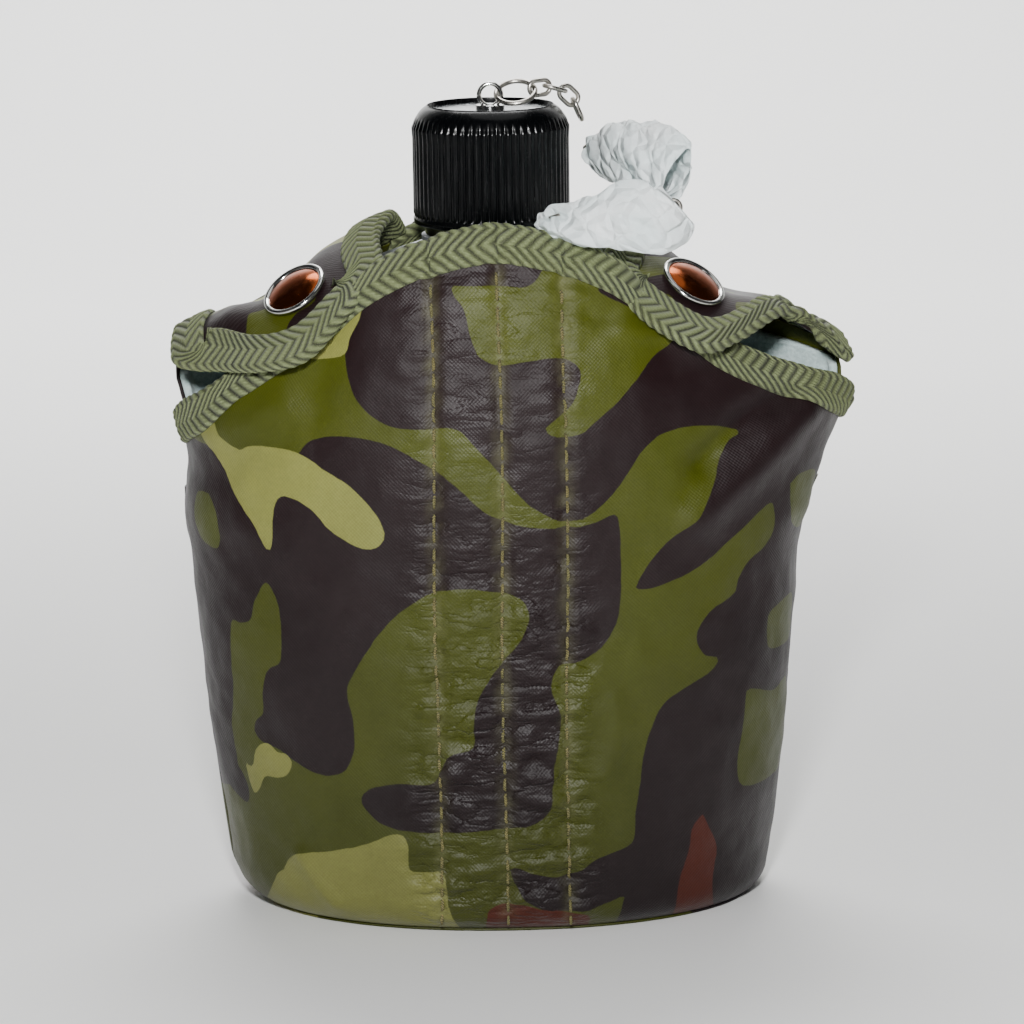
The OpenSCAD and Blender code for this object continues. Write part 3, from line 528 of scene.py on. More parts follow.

# printed patches on the front, in millimetres across and up: listed outlines
patches = {"dark": [[(-31, 169), (-30, 155), (-31.5, 149), (-34, 143.5), (-35, 140), (-34, 133.5),
                     (-31.5, 128.7), (-26, 124.5), (-18, 123.4), (-10, 123.7), (-5, 119), (-1, 114.5),
                     (6, 106.3), (12, 102.3), (15.2, 101.3), (20, 102.5), (24.5, 105.6), (28.6, 110.4),
                     (32, 115.5), (36, 119.5), (40.7, 121), (46.4, 121.3), (52, 120.6), (58.5, 118.7),
                     (55, 116.6), (52, 112.6), (50.5, 109.2), (48, 104.5), (45.2, 99.9), (40.7, 96.4),
                     (37, 93), (33, 87.7), (31.4, 84.4), (36, 84.4), (43.6, 86.6), (49.3, 89.5),
                     (58, 96.4), (63.8, 100.5), (65.5, 98.7), (65.5, 93), (62.6, 89.5), (58.6, 87.3),
                     (56.2, 83.2), (55.2, 79.9), (49.5, 77), (46.2, 73), (46, 69.7), (47.9, 66.3),
                     (51.2, 65.2), (49.5, 62.5), (44, 59.6), (38.8, 56.8), (36, 52.8), (33.8, 46.8),
                     (32.7, 41), (31.9, 34.4), (31, 28.7), (30.5, 22.5), (26, 20.4), (21, 18.7),
                     (17, 15.8), (12.5, 14.6), (7, 15.8), (1.2, 18), (2.9, 12.5), (5.7, 8.5), (11.4, 6.8),
                     (17, 6.3), (23.8, 7.4), (28.2, 9), (27.6, 5), (27, -8), (60, -12), (120, -10),
                     (125, 80), (110, 170), (46, 168), (42, 146), (40, 140.6), (36, 138), (32, 133.5),
                     (27, 128.3), (22, 124.2), (18.8, 121.8), (13.6, 121.3), (10.7, 122.8), (12, 124.7),
                     (16, 127.6), (18, 131), (19, 135.2), (17.6, 138), (14, 139.4), (6, 138.6), (0, 138),
                     (-3.8, 139.7), (-4.9, 141.4), (-6.2, 145), (-7.6, 151), (-10.2, 155), (-11, 168)],
                    [(-110, 117), (-74, 116), (-68, 112.5), (-60, 108), (-50, 111), (-44.8, 118.5),
                     (-42, 120.4), (-36.8, 121.3), (-28.8, 120.7), (-23.6, 119), (-18, 115.8),
                     (-12.9, 112.7), (-8.6, 109), (-4.9, 105.4), (-0.7, 102.6), (6, 100.5), (13.6, 99.9),
                     (20.5, 100.5), (26.2, 102.5), (27.4, 100.5), (28, 91.8), (27.6, 80.4), (26, 74.8),
                     (22.6, 70.4), (18, 67.7), (13, 66.6), (11.4, 62.5), (11.9, 59.6), (13.6, 54.6),
                     (13, 48.5), (11.9, 42.3), (11.4, 36), (10.7, 31.5), (7.4, 28.7), (1.2, 27.6),
                     (-8, 27), (-16, 26.4), (-24, 26.8), (-29.3, 28.6), (-32.6, 31.8), (-33.3, 34.4),
                     (-31, 37), (-24, 38.5), (-16.7, 38.5), (-14.5, 42.3), (-12.4, 45.8), (-7, 47.2),
                     (-6.8, 52), (-6, 58.2), (-3.3, 63.7), (1, 69.4), (4, 72.8), (5.8, 76.5), (6.3, 80.4),
                     (4.5, 83.4), (0.2, 84.9), (-5.5, 85.8), (-10, 86), (-16.7, 84.7), (-22, 81.4),
                     (-26.7, 77), (-31, 71), (-35.2, 63.7), (-36.2, 60), (-35.2, 55.2), (-34.8, 50.4),
                     (-35, 45.7), (-36.8, 41.3), (-40.5, 39.4), (-45.2, 40), (-50, 42.3), (-53.3, 44),
                     (-58.6, 45.3), (-60.7, 47.7), (-59.6, 50.8), (-57.6, 52.5), (-57.3, 58.2),
                     (-55.5, 63.7), (-52, 65.8), (-51.4, 71.5), (-51.7, 78.4), (-53.3, 82.7), (-55.5, 85),
                     (-58.6, 80.6), (-60.2, 75.4), (-63.3, 74), (-65.5, 74.2), (-66, 69), (-66.5, 55.6),
                     (-67.6, 47.7), (-66.5, 38), (-68, 32), (-110, 32)],
                    [(-14, 170), (-12, 157), (0, 155.8), (9, 156.4), (12, 170)],
                    [(23.5, 153.5), (28, 151), (33, 149.5), (36, 160), (24, 162)],
                    [(-71, 38), (-66, 37), (-64, 34), (-63.3, 30), (-65, 28.5), (-71, 32)]],
           "greenAgain": [[(58.2, 56), (62.5, 54.8), (68, 53), (76, 54), (79, 44), (76, 33), (68, 31),
                           (58, 31.5), (56, 37), (57, 44), (57.6, 50)],
                          [(65, 73), (70, 75), (76, 75), (78, 66), (74, 63.5), (66, 64), (64.5, 68)],
                          [(70, 104), (74, 106), (82, 104), (80, 92), (72, 94)],
                          [(-72, 104), (-69, 100), (-68, 93), (-70, 91), (-76, 94), (-77, 103)]],
           "khaki": [[(-62.9, 115.9), (-60.7, 117), (-57, 117.5), (-49.5, 117.5), (-44.8, 116.2),
                      (-40, 113.2), (-34, 109.6), (-29.9, 105.4), (-27.1, 101), (-26.9, 97.3),
                      (-29.9, 95.1), (-35.2, 96.6), (-39.5, 99.4), (-43, 103.5), (-47.4, 106),
                      (-50.6, 106.3), (-52.5, 102.6), (-53.3, 94.6), (-54.8, 93.3), (-58, 98.4),
                      (-63.3, 104.7), (-69, 112.3), (-76, 118), (-82, 126), (-74, 124), (-69, 118.6)],
                     [(-33.6, 163), (-30.5, 154), (-31.2, 148.3), (-33.6, 144), (-35, 140),
                      (-38.8, 138.7), (-44.8, 138.5), (-50, 142), (-44, 156), (-38, 163)],
                     [(-60.7, 42.3), (-59, 44.5), (-56.4, 45), (-53.8, 43.4), (-51.2, 43.2),
                      (-49.8, 41.3), (-51.2, 38), (-54.3, 36.8), (-58, 36.5), (-59.6, 33.3),
                      (-61.5, 31.5), (-62.9, 34.4), (-63.9, 39), (-61.8, 38.2)],
                     [(-52.7, 13.7), (-51.2, 16.8), (-48, 18.9), (-40, 20.6), (-32, 23.2), (-26.7, 25.8),
                      (-24, 25.6), (-22.4, 22.7), (-22.7, 18), (-20.8, 16.3), (-14.5, 16.3), (-13.7, 8.4),
                      (-13.5, -6), (-60, -6), (-56, 10)]],
           "rust": [[(47.4, 26.8), (45, 23.7), (44, 17.5), (41.7, 9.7), (40.9, 4), (40, -6), (50.5, -6),
                     (50, 7.4), (51, 17.5), (49, 23)],
                    [(-4, 6.5), (0, 8.5), (8, 7.4), (16, 6), (20, 4), (16, -6), (-3, -4)]]}

def printFields(across, up, flip=1):
    dark = np.max([sideOf(p, across * flip, up) for p in patches["dark"]], axis=0)
    hole = np.max([sideOf(p, across * flip, up) for p in patches["greenAgain"]], axis=0)
    return {"dark": np.minimum(dark, -hole),
            "khaki": np.max([sideOf(p, across * flip, up) for p in patches["khaki"]], axis=0),
            "rust": np.max([sideOf(p, across * flip, up) for p in patches["rust"]], axis=0)}

# front panel: padded cloth with three quilted seams
cover = {"cols": 190, "straight": 84, "rise": 58, "seamRows": (-15.0, 0.4, 15.2), "stitchPitch": 4.1,
         "softFold": 0.7}

def swell(g, n, across, seams):
    up = g[..., 2]
    d = cover["softFold"] * (bumps(g, 34, 1) + 0.55 * bumps(g, 13, 2)) + 0.22 * bumps(g, 5, 3)
    near = np.min([np.abs(across - s) for s in seams], axis=0) if seams else np.full(across.shape, 99.0)
    pinch = np.exp(-(near / 1.5) ** 2)
    pucker = np.exp(-(near / 4.5) ** 2)
    if seams:
        ripple = np.sin(2 * np.pi * up / cover["stitchPitch"] + 1.6 * bumps(g, 9, 4) * 3)
        crumple = bumps(g * [0.5, 1, 1.1], 3.6, 5) + 0.6 * bumps(g, 2.4, 6)
        crumple = crumple + 0.9 * bumps(g * [0.35, 1, 1], 5.5, 7)
        middle = smooth((27 - np.abs(across)) / 8) * (0.45 + 0.75 * smooth((110 - up) / 50))
        gathered = 0.3 * ripple * pucker * (1 - 0.6 * pinch)
        d = d - 0.95 * pinch + gathered + middle * crumple
    return g + n * d[..., None]

frontG = panelGrid(frontEdge, -1, cover["cols"], cover["straight"], cover["rise"])
frontN = gridNormals(frontG)
frontUV = lengths(frontG)
# where the panel turns to the sides, the print follows its length
turning = smooth((np.abs(frontG[..., 0]) - 50) / 10)
alongSide = np.sign(frontG[..., 0]) * (50 + (np.abs(frontUV[..., 0]) - 51.2) * 0.82)
frontAcross = frontG[..., 0] * (1 - turning) + turning * alongSide

def addFold(g, n, line, width, height):     # a raised crease along a polyline
    p = along(line, np.linspace(0, 1, 24))
    far = np.full(g.shape[:2], 1e9)
    for q in p:
        far = np.minimum(far, np.hypot(g[..., 0] - q[0], g[..., 2] - q[1]))
    return g + n * (height * np.exp(-(far / width) ** 2))[..., None]

shaped = swell(frontG, frontN, frontG[..., 0], cover["seamRows"])
inPlace = smooth((frontG[..., 2] - 2) / 8)[..., None]
shaped = frontG + (shaped - frontG) * inPlace
creases = [([(30, 146), (40, 143), (47, 139)], 3.2, 1.4), ([(46, 100), (60, 110), (72, 121)], 5, 2.6),
           ([(48, 113), (58, 121), (70, 126)], 3.5, -2.2), ([(-70, 116), (-60, 122), (-50, 127)], 5, 1.2),
           ([(-48, 18), (-44, 12), (-40, 7)], 2.2, 0.9), ([(8, 8), (14, 5), (20, 6)], 2.4, 0.8),
           ([(24, 40), (27, 50), (26, 58)], 2.6, 0.8), ([(20, 150), (27, 148), (38, 147)], 2.6, -1.0)]
for line, width, height in creases:      # points across and up, width, height
    shaped = addFold(shaped, frontN, line, width, height)
fieldsFront = printFields(frontAcross, frontG[..., 2])
seamGap = np.min([np.abs(frontG[..., 0] - s) for s in cover["seamRows"]], axis=0)
rubbed = np.exp(-(seamGap / 1.6) ** 2) * (0.55 + 0.9 * bumps(frontG, 3, 8))
fieldsFront["wear"] = np.clip(rubbed, 0, 1)
lower = 0.35 + 0.65 * smooth((125 - frontG[..., 2]) / 60)
fieldsFront["quilt"] = smooth((26 - np.abs(frontG[..., 0])) / 9) * lower
frontInner = shaped - gridNormals(shaped) * form["cloth"]
frontPanel = addSheet("frontPanelCloth", shaped, frontInner, cloth, frontUV, fieldsFront)
attach(frontPanel, "bottle_and_cover", "camouflage_cloth", "cover_front", "snap_tab_left", "snap_tab_right")

# back panel
backG = panelGrid(backEdge, 1, 150, 64, 50)
backN = gridNormals(backG)
backUV = lengths(backG)
backShaped = swell(backG, backN, backG[..., 0], ())
backShaped = backG + (backShaped - backG) * smooth((backG[..., 2] - 2) / 8)[..., None]
fieldsBack = printFields(-backUV[..., 0] * 0.86 + 12, backG[..., 2] * 1.02 - 4, -1)
fieldsBack["wear"] = np.zeros(backG.shape[:2])
backInner = backShaped - gridNormals(backShaped) * form["cloth"]
backPanel = addSheet("backPanelCloth", backShaped, backInner, cloth, backUV, fieldsBack)
attach(backPanel, "bottle_and_cover", "camouflage_cloth", "cover_back")
print("panels made")

# felt lining, a little inside the cloth and short of the binding
lining = {"thick": 1.8, "behind": 0.95, "stopsShort": 7.0}

def addLining(name, g, node):
    n = gridNormals(g)
    run = np.cumsum(np.linalg.norm(np.diff(g[::-1], axis=0), axis=-1), 0)[::-1]
    keep = int(np.argmax(run.mean(1) < lining["stopsShort"]))
    g, n = g[1:keep], n[1:keep]
    outer = g - n * lining["behind"]
    inner = outer - n * (lining["thick"] + 0.25 * bumps(g, 2.2, 11))[..., None]
    return attach(addSheet(name, outer, inner, felt), "bottle_and_cover", "felt", node)

addLining("feltFront", shaped, "lining_front")
addLining("feltBack", backShaped, "lining_back")

def floorDisc(name, low, thick, less, material, slot, node, crown=0.0):
    a = np.linspace(0, 2 * np.pi, 160, endpoint=False)
    edge = coverPoint(np.full(160, form["low"]), a)
    middle = np.array([0, form["hip"] * 0.3, 0])
    rings = []
    for k in (0.02, 0.2, 0.4, 0.6, 0.8, 0.93, 0.985, 1.0):
        ring = middle + (edge - middle) * [k, k, 0]
        reach = np.linalg.norm(ring[:, :2] - middle[:2], axis=1, keepdims=True)
        ring = ring - (ring - middle) * [1, 1, 0] / np.maximum(reach, 1e-6) * less * k
        ring[:, 2] = low + crown * (1 - k ** 6)
        rings.append(ring)
    under = np.array(rings)
    over = under[::-1] + [0, 0, thick]
    under[-1, :, 2] += thick * 0.25
    over[0, :, 2] -= thick * 0.25
    g = np.vstack([under, over])
    fields = {k: v for k, v in printFields(g[..., 0], g[..., 1] * 1.2 + 12).items()}
    fields["wear"] = np.zeros(g.shape[:2])
    piece = addRings(name, g, material, uv=g[..., :2].reshape(-1, 2), fields=fields)
    return attach(piece, "bottle_and_cover", slot, node)

floorDisc("bottomCloth", 0.0, 0.8, 0.0, cloth, "camouflage_cloth", "cover_bottom", 0.12)
floorDisc("bottomFelt", 0.97, 1.75, 3.6, felt, "felt", "lining_bottom")

# folded herringbone binding, with its ribs as real relief
binding = {"width": 8.6, "thick": 0.7, "gap": 0.12, "relief": 0.34, "step": 0.42}

def spaced(g, step):      # the same grid with its columns evenly spaced along the last row
    run = np.concatenate([[0], np.cumsum(np.linalg.norm(np.diff(g[-1], axis=0), axis=1))])
    n = max(8, int(run[-1] / step))
    at = np.linspace(0, run[-1], n)
    return np.stack([[np.interp(at, run, row[:, k]) for k in range(3)] for row in g]).transpose(0, 2, 1), at

def ribHeight(s, across, h=herringbone):
    fold = np.abs(((across / h["band"]) % 2 + 2) % 2 - 1)
    zig = (1 - fold) * h["band"]
    return (0.5 + 0.5 * np.sin(2 * np.pi * (s + zig * h["slant"]) / h["pitch"])) ** 0.7

def addBinding(name, g, sheetThick=0.8, width=None, relief=None):
    width = width or binding["width"]
    relief = binding["relief"] if relief is None else relief
    g, s = spaced(g, binding["step"])
    normals = gridNormals(g)
    back, backN = g[::-1], normals[::-1]
    run = np.concatenate([np.zeros((1, g.shape[1])),
                          np.cumsum(np.linalg.norm(np.diff(back, axis=0), axis=-1), 0)])
    def inset(w):
        p, n = np.empty((g.shape[1], 3)), np.empty((g.shape[1], 3))
        for c in range(g.shape[1]):
            for k in range(3):
                p[c, k] = np.interp(w, run[:, c], back[:, c, k])
                n[c, k] = np.interp(w, run[:, c], backN[:, c, k])
        return p, unit(n)
    edge, edgeN = inset(0.0)
    inward = unit(inset(1.2)[0] - edge)
    t, gap, thick = sheetThick, binding["gap"], binding["thick"]
    legs = np.linspace(width, 0, 22)
    radius = t / 2 + gap + thick
    outerPath = [(w, gap + thick * min(1, 0.35 + (width - w) * 1.4), w) for w in legs]
    outerPath += [(-radius * math.cos(a), -t / 2 + radius * math.sin(a), -(math.pi / 2 - a) * radius)
                  for a in np.linspace(math.pi / 2, -math.pi / 2, 9)[1:-1]]
    outerPath += [(w, -t - gap - thick * min(1, 0.35 + (width - w) * 1.4), -w - math.pi * radius)
                  for w in legs[::-2]]
    innerPath = [(width, -t - gap, -width - 5), (0.0, -t - gap, -5), (-0.15, -t / 2, -2), (0.0, gap, 0),
                 (width * 0.5, gap, width * .5), (width, gap, width)]
    puff = 0.35
    rings, uvs = [], []
    for i, (w, h, v) in enumerate(outerPath + innerPath):
        outside = i < len(outerPath)
        p, n = inset(max(w, 0))
        if w < 0:
            p = edge + inward * w
            n = edgeN
        if outside:
            fade = min(1, max(0, (width - abs(w)) / 0.8))
            crown = puff * math.sin(math.pi * min(1, max(0, w) / width)) if h > 0 else 0
            rib = relief * fade * ribHeight(s, np.full(len(s), v)) + crown
            direction = n if w >= 0 else unit(inward * (w / radius) + n * ((h + t / 2) / radius))
            sign = 1 if (h > -t / 2 or w < 0) else -1
            if w < 0:
                p = p + n * h + direction * rib[:, None]
            else:
                p = p + n * (h + sign * rib)[:, None]
        else:
            p = p + n * h
        rings.append(p)
        uvs.append(np.stack([s, np.full(len(s), v)], -1))
    rings = np.array(rings).transpose(1, 0, 2)
    uvs = np.array(uvs).transpose(1, 0, 2)
    return addRings(name, rings, tapeCloth, uv=uvs.reshape(-1, 2))

# a row of sewn stitches: short thread loops that dip at both ends
def addStitches(name, points, normals, pitch=4.1, length=3.3, threadRadius=0.36, lift=0.5, material=None):
    run = np.concatenate([[0], np.cumsum(np.linalg.norm(np.diff(points, axis=0), axis=1))])
    count = int(run[-1] // pitch)
    verts, faces = [], []
    for i in range(count):
        s0 = (i + 0.5) * pitch + 0.25 * math.sin(i * 2.7)
        at = np.linspace(s0 - length / 2, s0 + length / 2, 6)
        mid = np.stack([np.interp(at, run, points[:, k]) for k in range(3)], -1)
        n = unit(np.stack([np.interp(at, run, normals[:, k]) for k in range(3)], -1))
        rise = np.sin(np.linspace(0.05, math.pi - 0.05, 6)) * (lift + threadRadius) - threadRadius * 0.5
        mid = mid + n * rise[:, None]
        tangent = unit(np.gradient(mid, axis=0))
        side = unit(np.cross(tangent, n))
        first = len(verts)
        for j in range(6):
            r = threadRadius * (0.75 if j in (0, 5) else 1.0)
            for a in np.linspace(0, 2 * np.pi, 6, endpoint=False):
                verts.append(mid[j] + side[j] * r * math.cos(a) + n[j] * r * math.sin(a))
        for j in range(5):
            for q in range(6):
                faces.append((first + j * 6 + q, first + j * 6 + (q + 1) % 6,
                              first + j * 6 + 6 + (q + 1) % 6, first + j * 6 + 6 + q))
        faces += [tuple(first + q for q in range(5, -1, -1)), tuple(first + 30 + q for q in range(6))]
    uv = np.array([[v[2] * 1.0, v[0]] for v in verts])
    return addObject(name, np.array(verts), faces, material or thread, uv, outward=True)

attach(addBinding("frontBinding", shaped), "bottle_and_cover", "olive_tape", "tape_front")
middleBack = slice(int(150 * 0.34), int(150 * 0.66))
attach(addBinding("backBinding", backShaped[:, middleBack]), "bottle_and_cover", "olive_tape", "tape_back")

shapedN = gridNormals(shaped)
for i, seam in enumerate(cover["seamRows"]):
    col = [int(np.argmin(np.abs(shaped[r, :, 0] - seam))) for r in range(shaped.shape[0])]
    line = np.array([shaped[r, c] for r, c in enumerate(col)])
    line[:, 0] = seam + 0.35 * np.sin(line[:, 2] / 17.0 + i)
    norm = np.array([shapedN[r, c] for r, c in enumerate(col)])
    top = int(len(line) - 9)
    attach(addStitches("seamStitches%d" % (i + 1), line[3:top], norm[3:top], pitch=cover["stitchPitch"]),
           "bottle_and_cover", "camouflage_cloth")
print("binding and seams made")

# side seams, where the two panels meet
def addSideSeam(name, sign):
    low = np.linspace(1.0, form["bend"] + 6, 60)
    line = pullEars(coverPoint(low, np.full(60, 0.0 if sign > 0 else math.pi)))
    n = np.tile([sign, 0.15, 0.0], (60, 1))
    n = unit(n)
    side = np.tile([0.0, 1.0, 0.0], (60, 1))
    w = np.linspace(0, 1, 60)
    rings = []
    for a in np.linspace(0, 2 * np.pi, 14, endpoint=False):
        rings.append(line - n * 0.95 + side * (2.6 * np.cos(a)) + n * (0.95 * np.sin(a)))
    rings = np.array(rings).transpose(1, 0, 2)
    uv = np.stack([np.repeat(low[:, None], 14, 1), np.tile(np.linspace(-2.6, 2.6, 14), (60, 1))], -1)
    f = printFields(sign * 80 + 0 * rings[..., 2], rings[..., 2])
    f["wear"] = 0 * rings[..., 2]
    return attach(addRings(name, rings, cloth, uv=uv.reshape(-1, 2), fields=f), "bottle_and_cover",
                  "camouflage_cloth")

addSideSeam("sideSeamRight", 1)
addSideSeam("sideSeamLeft", -1)

# flaps: cloth folded over from the back panel's edge, with an edge tape and a snap
# their points are shares of the cover's half width, half depth and dome
flap = {"cols": 70, "rows": 64, "corner": 0.18, "foldGap": 1.4, "tapeWidth": 9.2, "bendFrom": -0.4,
        "bendTo": 4.5, "snapAcross": 5 / 14, "snapUp": 0.3,
        "right": [(0.327, -0.61, 0.965), (0.39, -0.72, 0.83), (0.478, -0.80, 0.73), (0.61, -0.82, 0.645),
                  (0.713, -0.67, 0.67), (0.828, -0.44, 0.735), (0.896, -0.26, 0.715),
                  (0.97, -0.15, 0.66)],
        "left": [(0.335, -0.60, 0.955), (0.455, -0.78, 0.785), (0.565, -0.83, 0.64),
                 (0.71, -0.70, 0.585), (0.88, -0.36, 0.555), (0.985, -0.2, 0.53)],
        "upper": [(0.31, 0.18, 1.085), (0.50, 0.13, 0.965), (0.68, 0.13, 0.775), (0.84, 0.13, 0.735)],
        "lower": [(0.355, -0.2, 1.035), (0.525, -0.33, 0.915), (0.68, -0.36, 0.79), (0.84, -0.23, 0.74)],
        "hang": {"right": ((1.02, 0.15, 0.57), (1.02, -0.03, 0.51)),
                 "left": ((1.005, 0.15, 0.65), (1.005, -0.04, 0.60))}}
flapStart = unit(np.array([-0.1, -1, 0.35]))

def flapNet(side):      # four rows of points, from the fold to the free edge
    upperEnd, lowerEnd = flap["hang"][side]
    fold = [foldIn + (foldOut - foldIn) * k + flap["foldGap"] * flapStart for k in (0, 0.25, 0.5, 0.75, 1)]
    rows = [flap["upper"] + [upperEnd], flap["lower"] + [lowerEnd], flap[side]]
    return [fold] + [[place(p) for p in row] for row in rows]

def flapSurface(side):
    net = flapNet(side)
    sign = 1 if side == "right" else -1
    def at(u, v):
        shape = u.shape
        u, k = u.ravel(), 1 - v.ravel()
        p = np.stack([along(row, u) for row in net])
        n = 3
        s = np.minimum(n - 1, np.floor(np.clip(k, 0, 1) * n)).astype(int)
        f = (np.clip(k, 0, 1) * n - s)[:, None]
        i = np.arange(len(u))
        a, b, c, d = p[np.maximum(0, s - 1), i], p[s, i], p[s + 1, i], p[np.minimum(n, s + 2), i]
        square, cube = 2 * a - 5 * b + 4 * c - d, 3 * b - a - 3 * c + d
        q = 0.5 * (2 * b + (c - a) * f + square * f ** 2 + cube * f ** 3)
        q[:, 0] *= sign
        return pullEars(q.reshape(*shape, 3))
    return at

def roundedCorner(u, v, r):
    u, v = u.copy(), v.copy()
    for mirror in (False, True):
        x = 1 - u if mirror else u
        a, b = np.clip((r - x) / r, 0, 1), np.clip((r - v) / r, 0, 1)
        inside = (a > 0) & (b > 0)
        x2 = np.where(inside, r - r * a * np.sqrt(1 - b * b / 2), x)
        v = np.where(inside, r - r * b * np.sqrt(1 - a * a / 2), v)
        u = 1 - x2 if mirror else x2
    return u, v

def edgeStrip(at, r, side, depth=10.5, rows=24, n=420):     # a grid that follows the flap's free edge
    legs, arcs = np.linspace(1, r, 120), np.linspace(0, np.pi / 2, 60)[1:-1]
    path = [(0, v, 1, 0) for v in legs]
    path += [(r - r * math.cos(a), r - r * math.sin(a), math.cos(a), math.sin(a)) for a in arcs]
    path += [(u, 0, 0, 1) for u in np.linspace(r, 1 - r, 140)]
    path += [(1 - r + r * math.sin(a), r - r * math.cos(a), -math.sin(a), math.cos(a)) for a in arcs]
    path += [(1, v, -1, 0) for v in legs[::-1]]
    path = np.array(path)
    here = at(path[:, 0], path[:, 1])
    near = at(np.clip(path[:, 0] + path[:, 2] * 0.02, 0, 1), np.clip(path[:, 1] + path[:, 3] * 0.02, 0, 1))
    metric = np.linalg.norm(near - here, axis=1) / 0.02
    out = []
    for w in np.linspace(depth, 0, rows):
        across = np.clip(path[:, 0] + path[:, 2] * w / metric, 0, 1)
        out.append(at(across, np.clip(path[:, 1] + path[:, 3] * w / metric, 0, 1)))
    g = np.array(out)
    return g if side == "right" else g[:, ::-1]

def blendFlap(piece, side, sign, node):      # hides the CAD node and bakes the piece's transform; the start and end of a bend at the fold, between the cover and the flap, are worked out but not used
    middle = (foldIn + foldOut) / 2 * [sign, 1, 1]
    direction = flapStart * [sign, 1, 1]
    start, end = (middle + direction * flap["bendFrom"]) * mm, (middle + direction * flap["bendTo"]) * mm
    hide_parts(node)
    tuple(start)
    tuple(end)
    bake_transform(piece)

def addFlapCloth(side, sign, at):      # carried on past the fold to the back panel's edge
    u, v = np.meshgrid(np.linspace(0, 1, flap["cols"]), np.linspace(0, 1, flap["rows"]))
    u, v = roundedCorner(u, v, flap["corner"])
    g = at(u, v)
    shares = np.linspace(0, 1, flap["cols"])[:, None]
    hinge = foldIn + (foldOut - foldIn) * shares - np.array([0, 0, 1.0])
    hinge[:, 0] *= sign
    last = g[flap["rows"] - 1]
    for k in (0.35, 0.7, 1.0):
        rise = math.sin(math.pi * k)
        g = np.vstack([g, (last * (1 - k) + hinge * k + np.array([0, 0.35 * rise, 0.7 * rise]))[None]])
    if sign < 0:
        g = g[:, ::-1]
    n = gridNormals(g)
    if n[20, 30, 2] < 0:
        g = g[::-1]
        n = gridNormals(g)
    away = smooth((np.abs(g[..., 1] - 20) - 3) / 8)
    wrinkle = (0.45 * bumps(g, 16, 21) + 0.2 * bumps(g, 6, 22)) * away
    soft = g + n * wrinkle[..., None]
    fields = printFields(g[..., 0] * 0.9 + 14 * sign, g[..., 1] * 1.5 + g[..., 2] - 52)
    fields["wear"] = 0 * wrinkle
    inner = soft - gridNormals(soft) * form["cloth"]
    piece = addSheet("flapCloth" + side.title(), soft, inner, cloth, lengths(g), fields)
    blendFlap(piece, side, sign, "flap_" + side)

def addFlapTape(side, sign, at):
    strip = edgeStrip(at, flap["corner"], side)
    if gridNormals(strip)[12, strip.shape[1] // 2, 2] < 0:
        strip = strip[:, ::-1]
    tape = addBinding("flapBinding" + side.title(), strip, width=flap["tapeWidth"])
    blendFlap(tape, side, sign, "flap_tape_" + side)

# snap: (radius, height) of a rolled bright rim and of the dome inside it, whose warm brown colour is a
# painted reflection of red surroundings on chrome
snap = {"steps": 96, "spread": 0.02,
        "rim": [(6.5, 0.5), (6.9, 1.0), (7.4, 1.15), (7.85, 0.95), (8.05, 0.5), (7.95, 0.0),
                (7.3, -0.15), (6.5, 0.0)],
        "dome": [(0.02, 2.05), (1.2, 2.02), (2.6, 1.9), (4.0, 1.65), (5.2, 1.3), (6.1, 0.95),
                 (6.6, 0.75), (6.75, 0.4), (0.02, 0.4)]}

def addSnap(side, at):      # seated on the flap, square to its surface
    spread = np.array([-snap["spread"], 0, snap["spread"]])
    local = at(*np.meshgrid(flap["snapAcross"] + spread, flap["snapUp"] + spread))
    out = np.cross(local[1, 2] - local[1, 0], local[2, 1] - local[0, 1])
    out = unit(out if out[2] > 0 else -out)
    across = unit(np.cross([0, 1, 0], out))
    turn = np.stack([across, np.cross(out, across), out], -1)
    body = side + "_flap"
    rim, dome = (turned(snap[part], snap["steps"]) @ turn.T + local[1, 1] for part in ("rim", "dome"))
    rimPiece = addRings("snapRim" + side.title(), rim, brightPlate, closedEnds=False, loopV=True)
    attach(rimPiece, body, "bright_metal")
    attach(addRings("snapDome" + side.title(), dome, snapPaintedRedReflection), body, "bright_metal", "snap_cap_" + side)

for side, sign in (("right", 1), ("left", -1)):
    surface = flapSurface(side)
    addFlapCloth(side, sign, surface)
    addFlapTape(side, sign, surface)
    addSnap(side, surface)
print("flaps made")

# cap: ribbed skirt, rounded crown with a sunk top, and the bore inside
capSize = {"bottom": 165.95, "height": 28.2, "radius": 18.15, "rib": 0.3, "ribs": 60, "crown": 6.0,
           "recess": 14.75, "recessDeep": 2.2, "bore": 16.1, "ceiling": 187.6, "post": 1.86, "lip": 1.7}

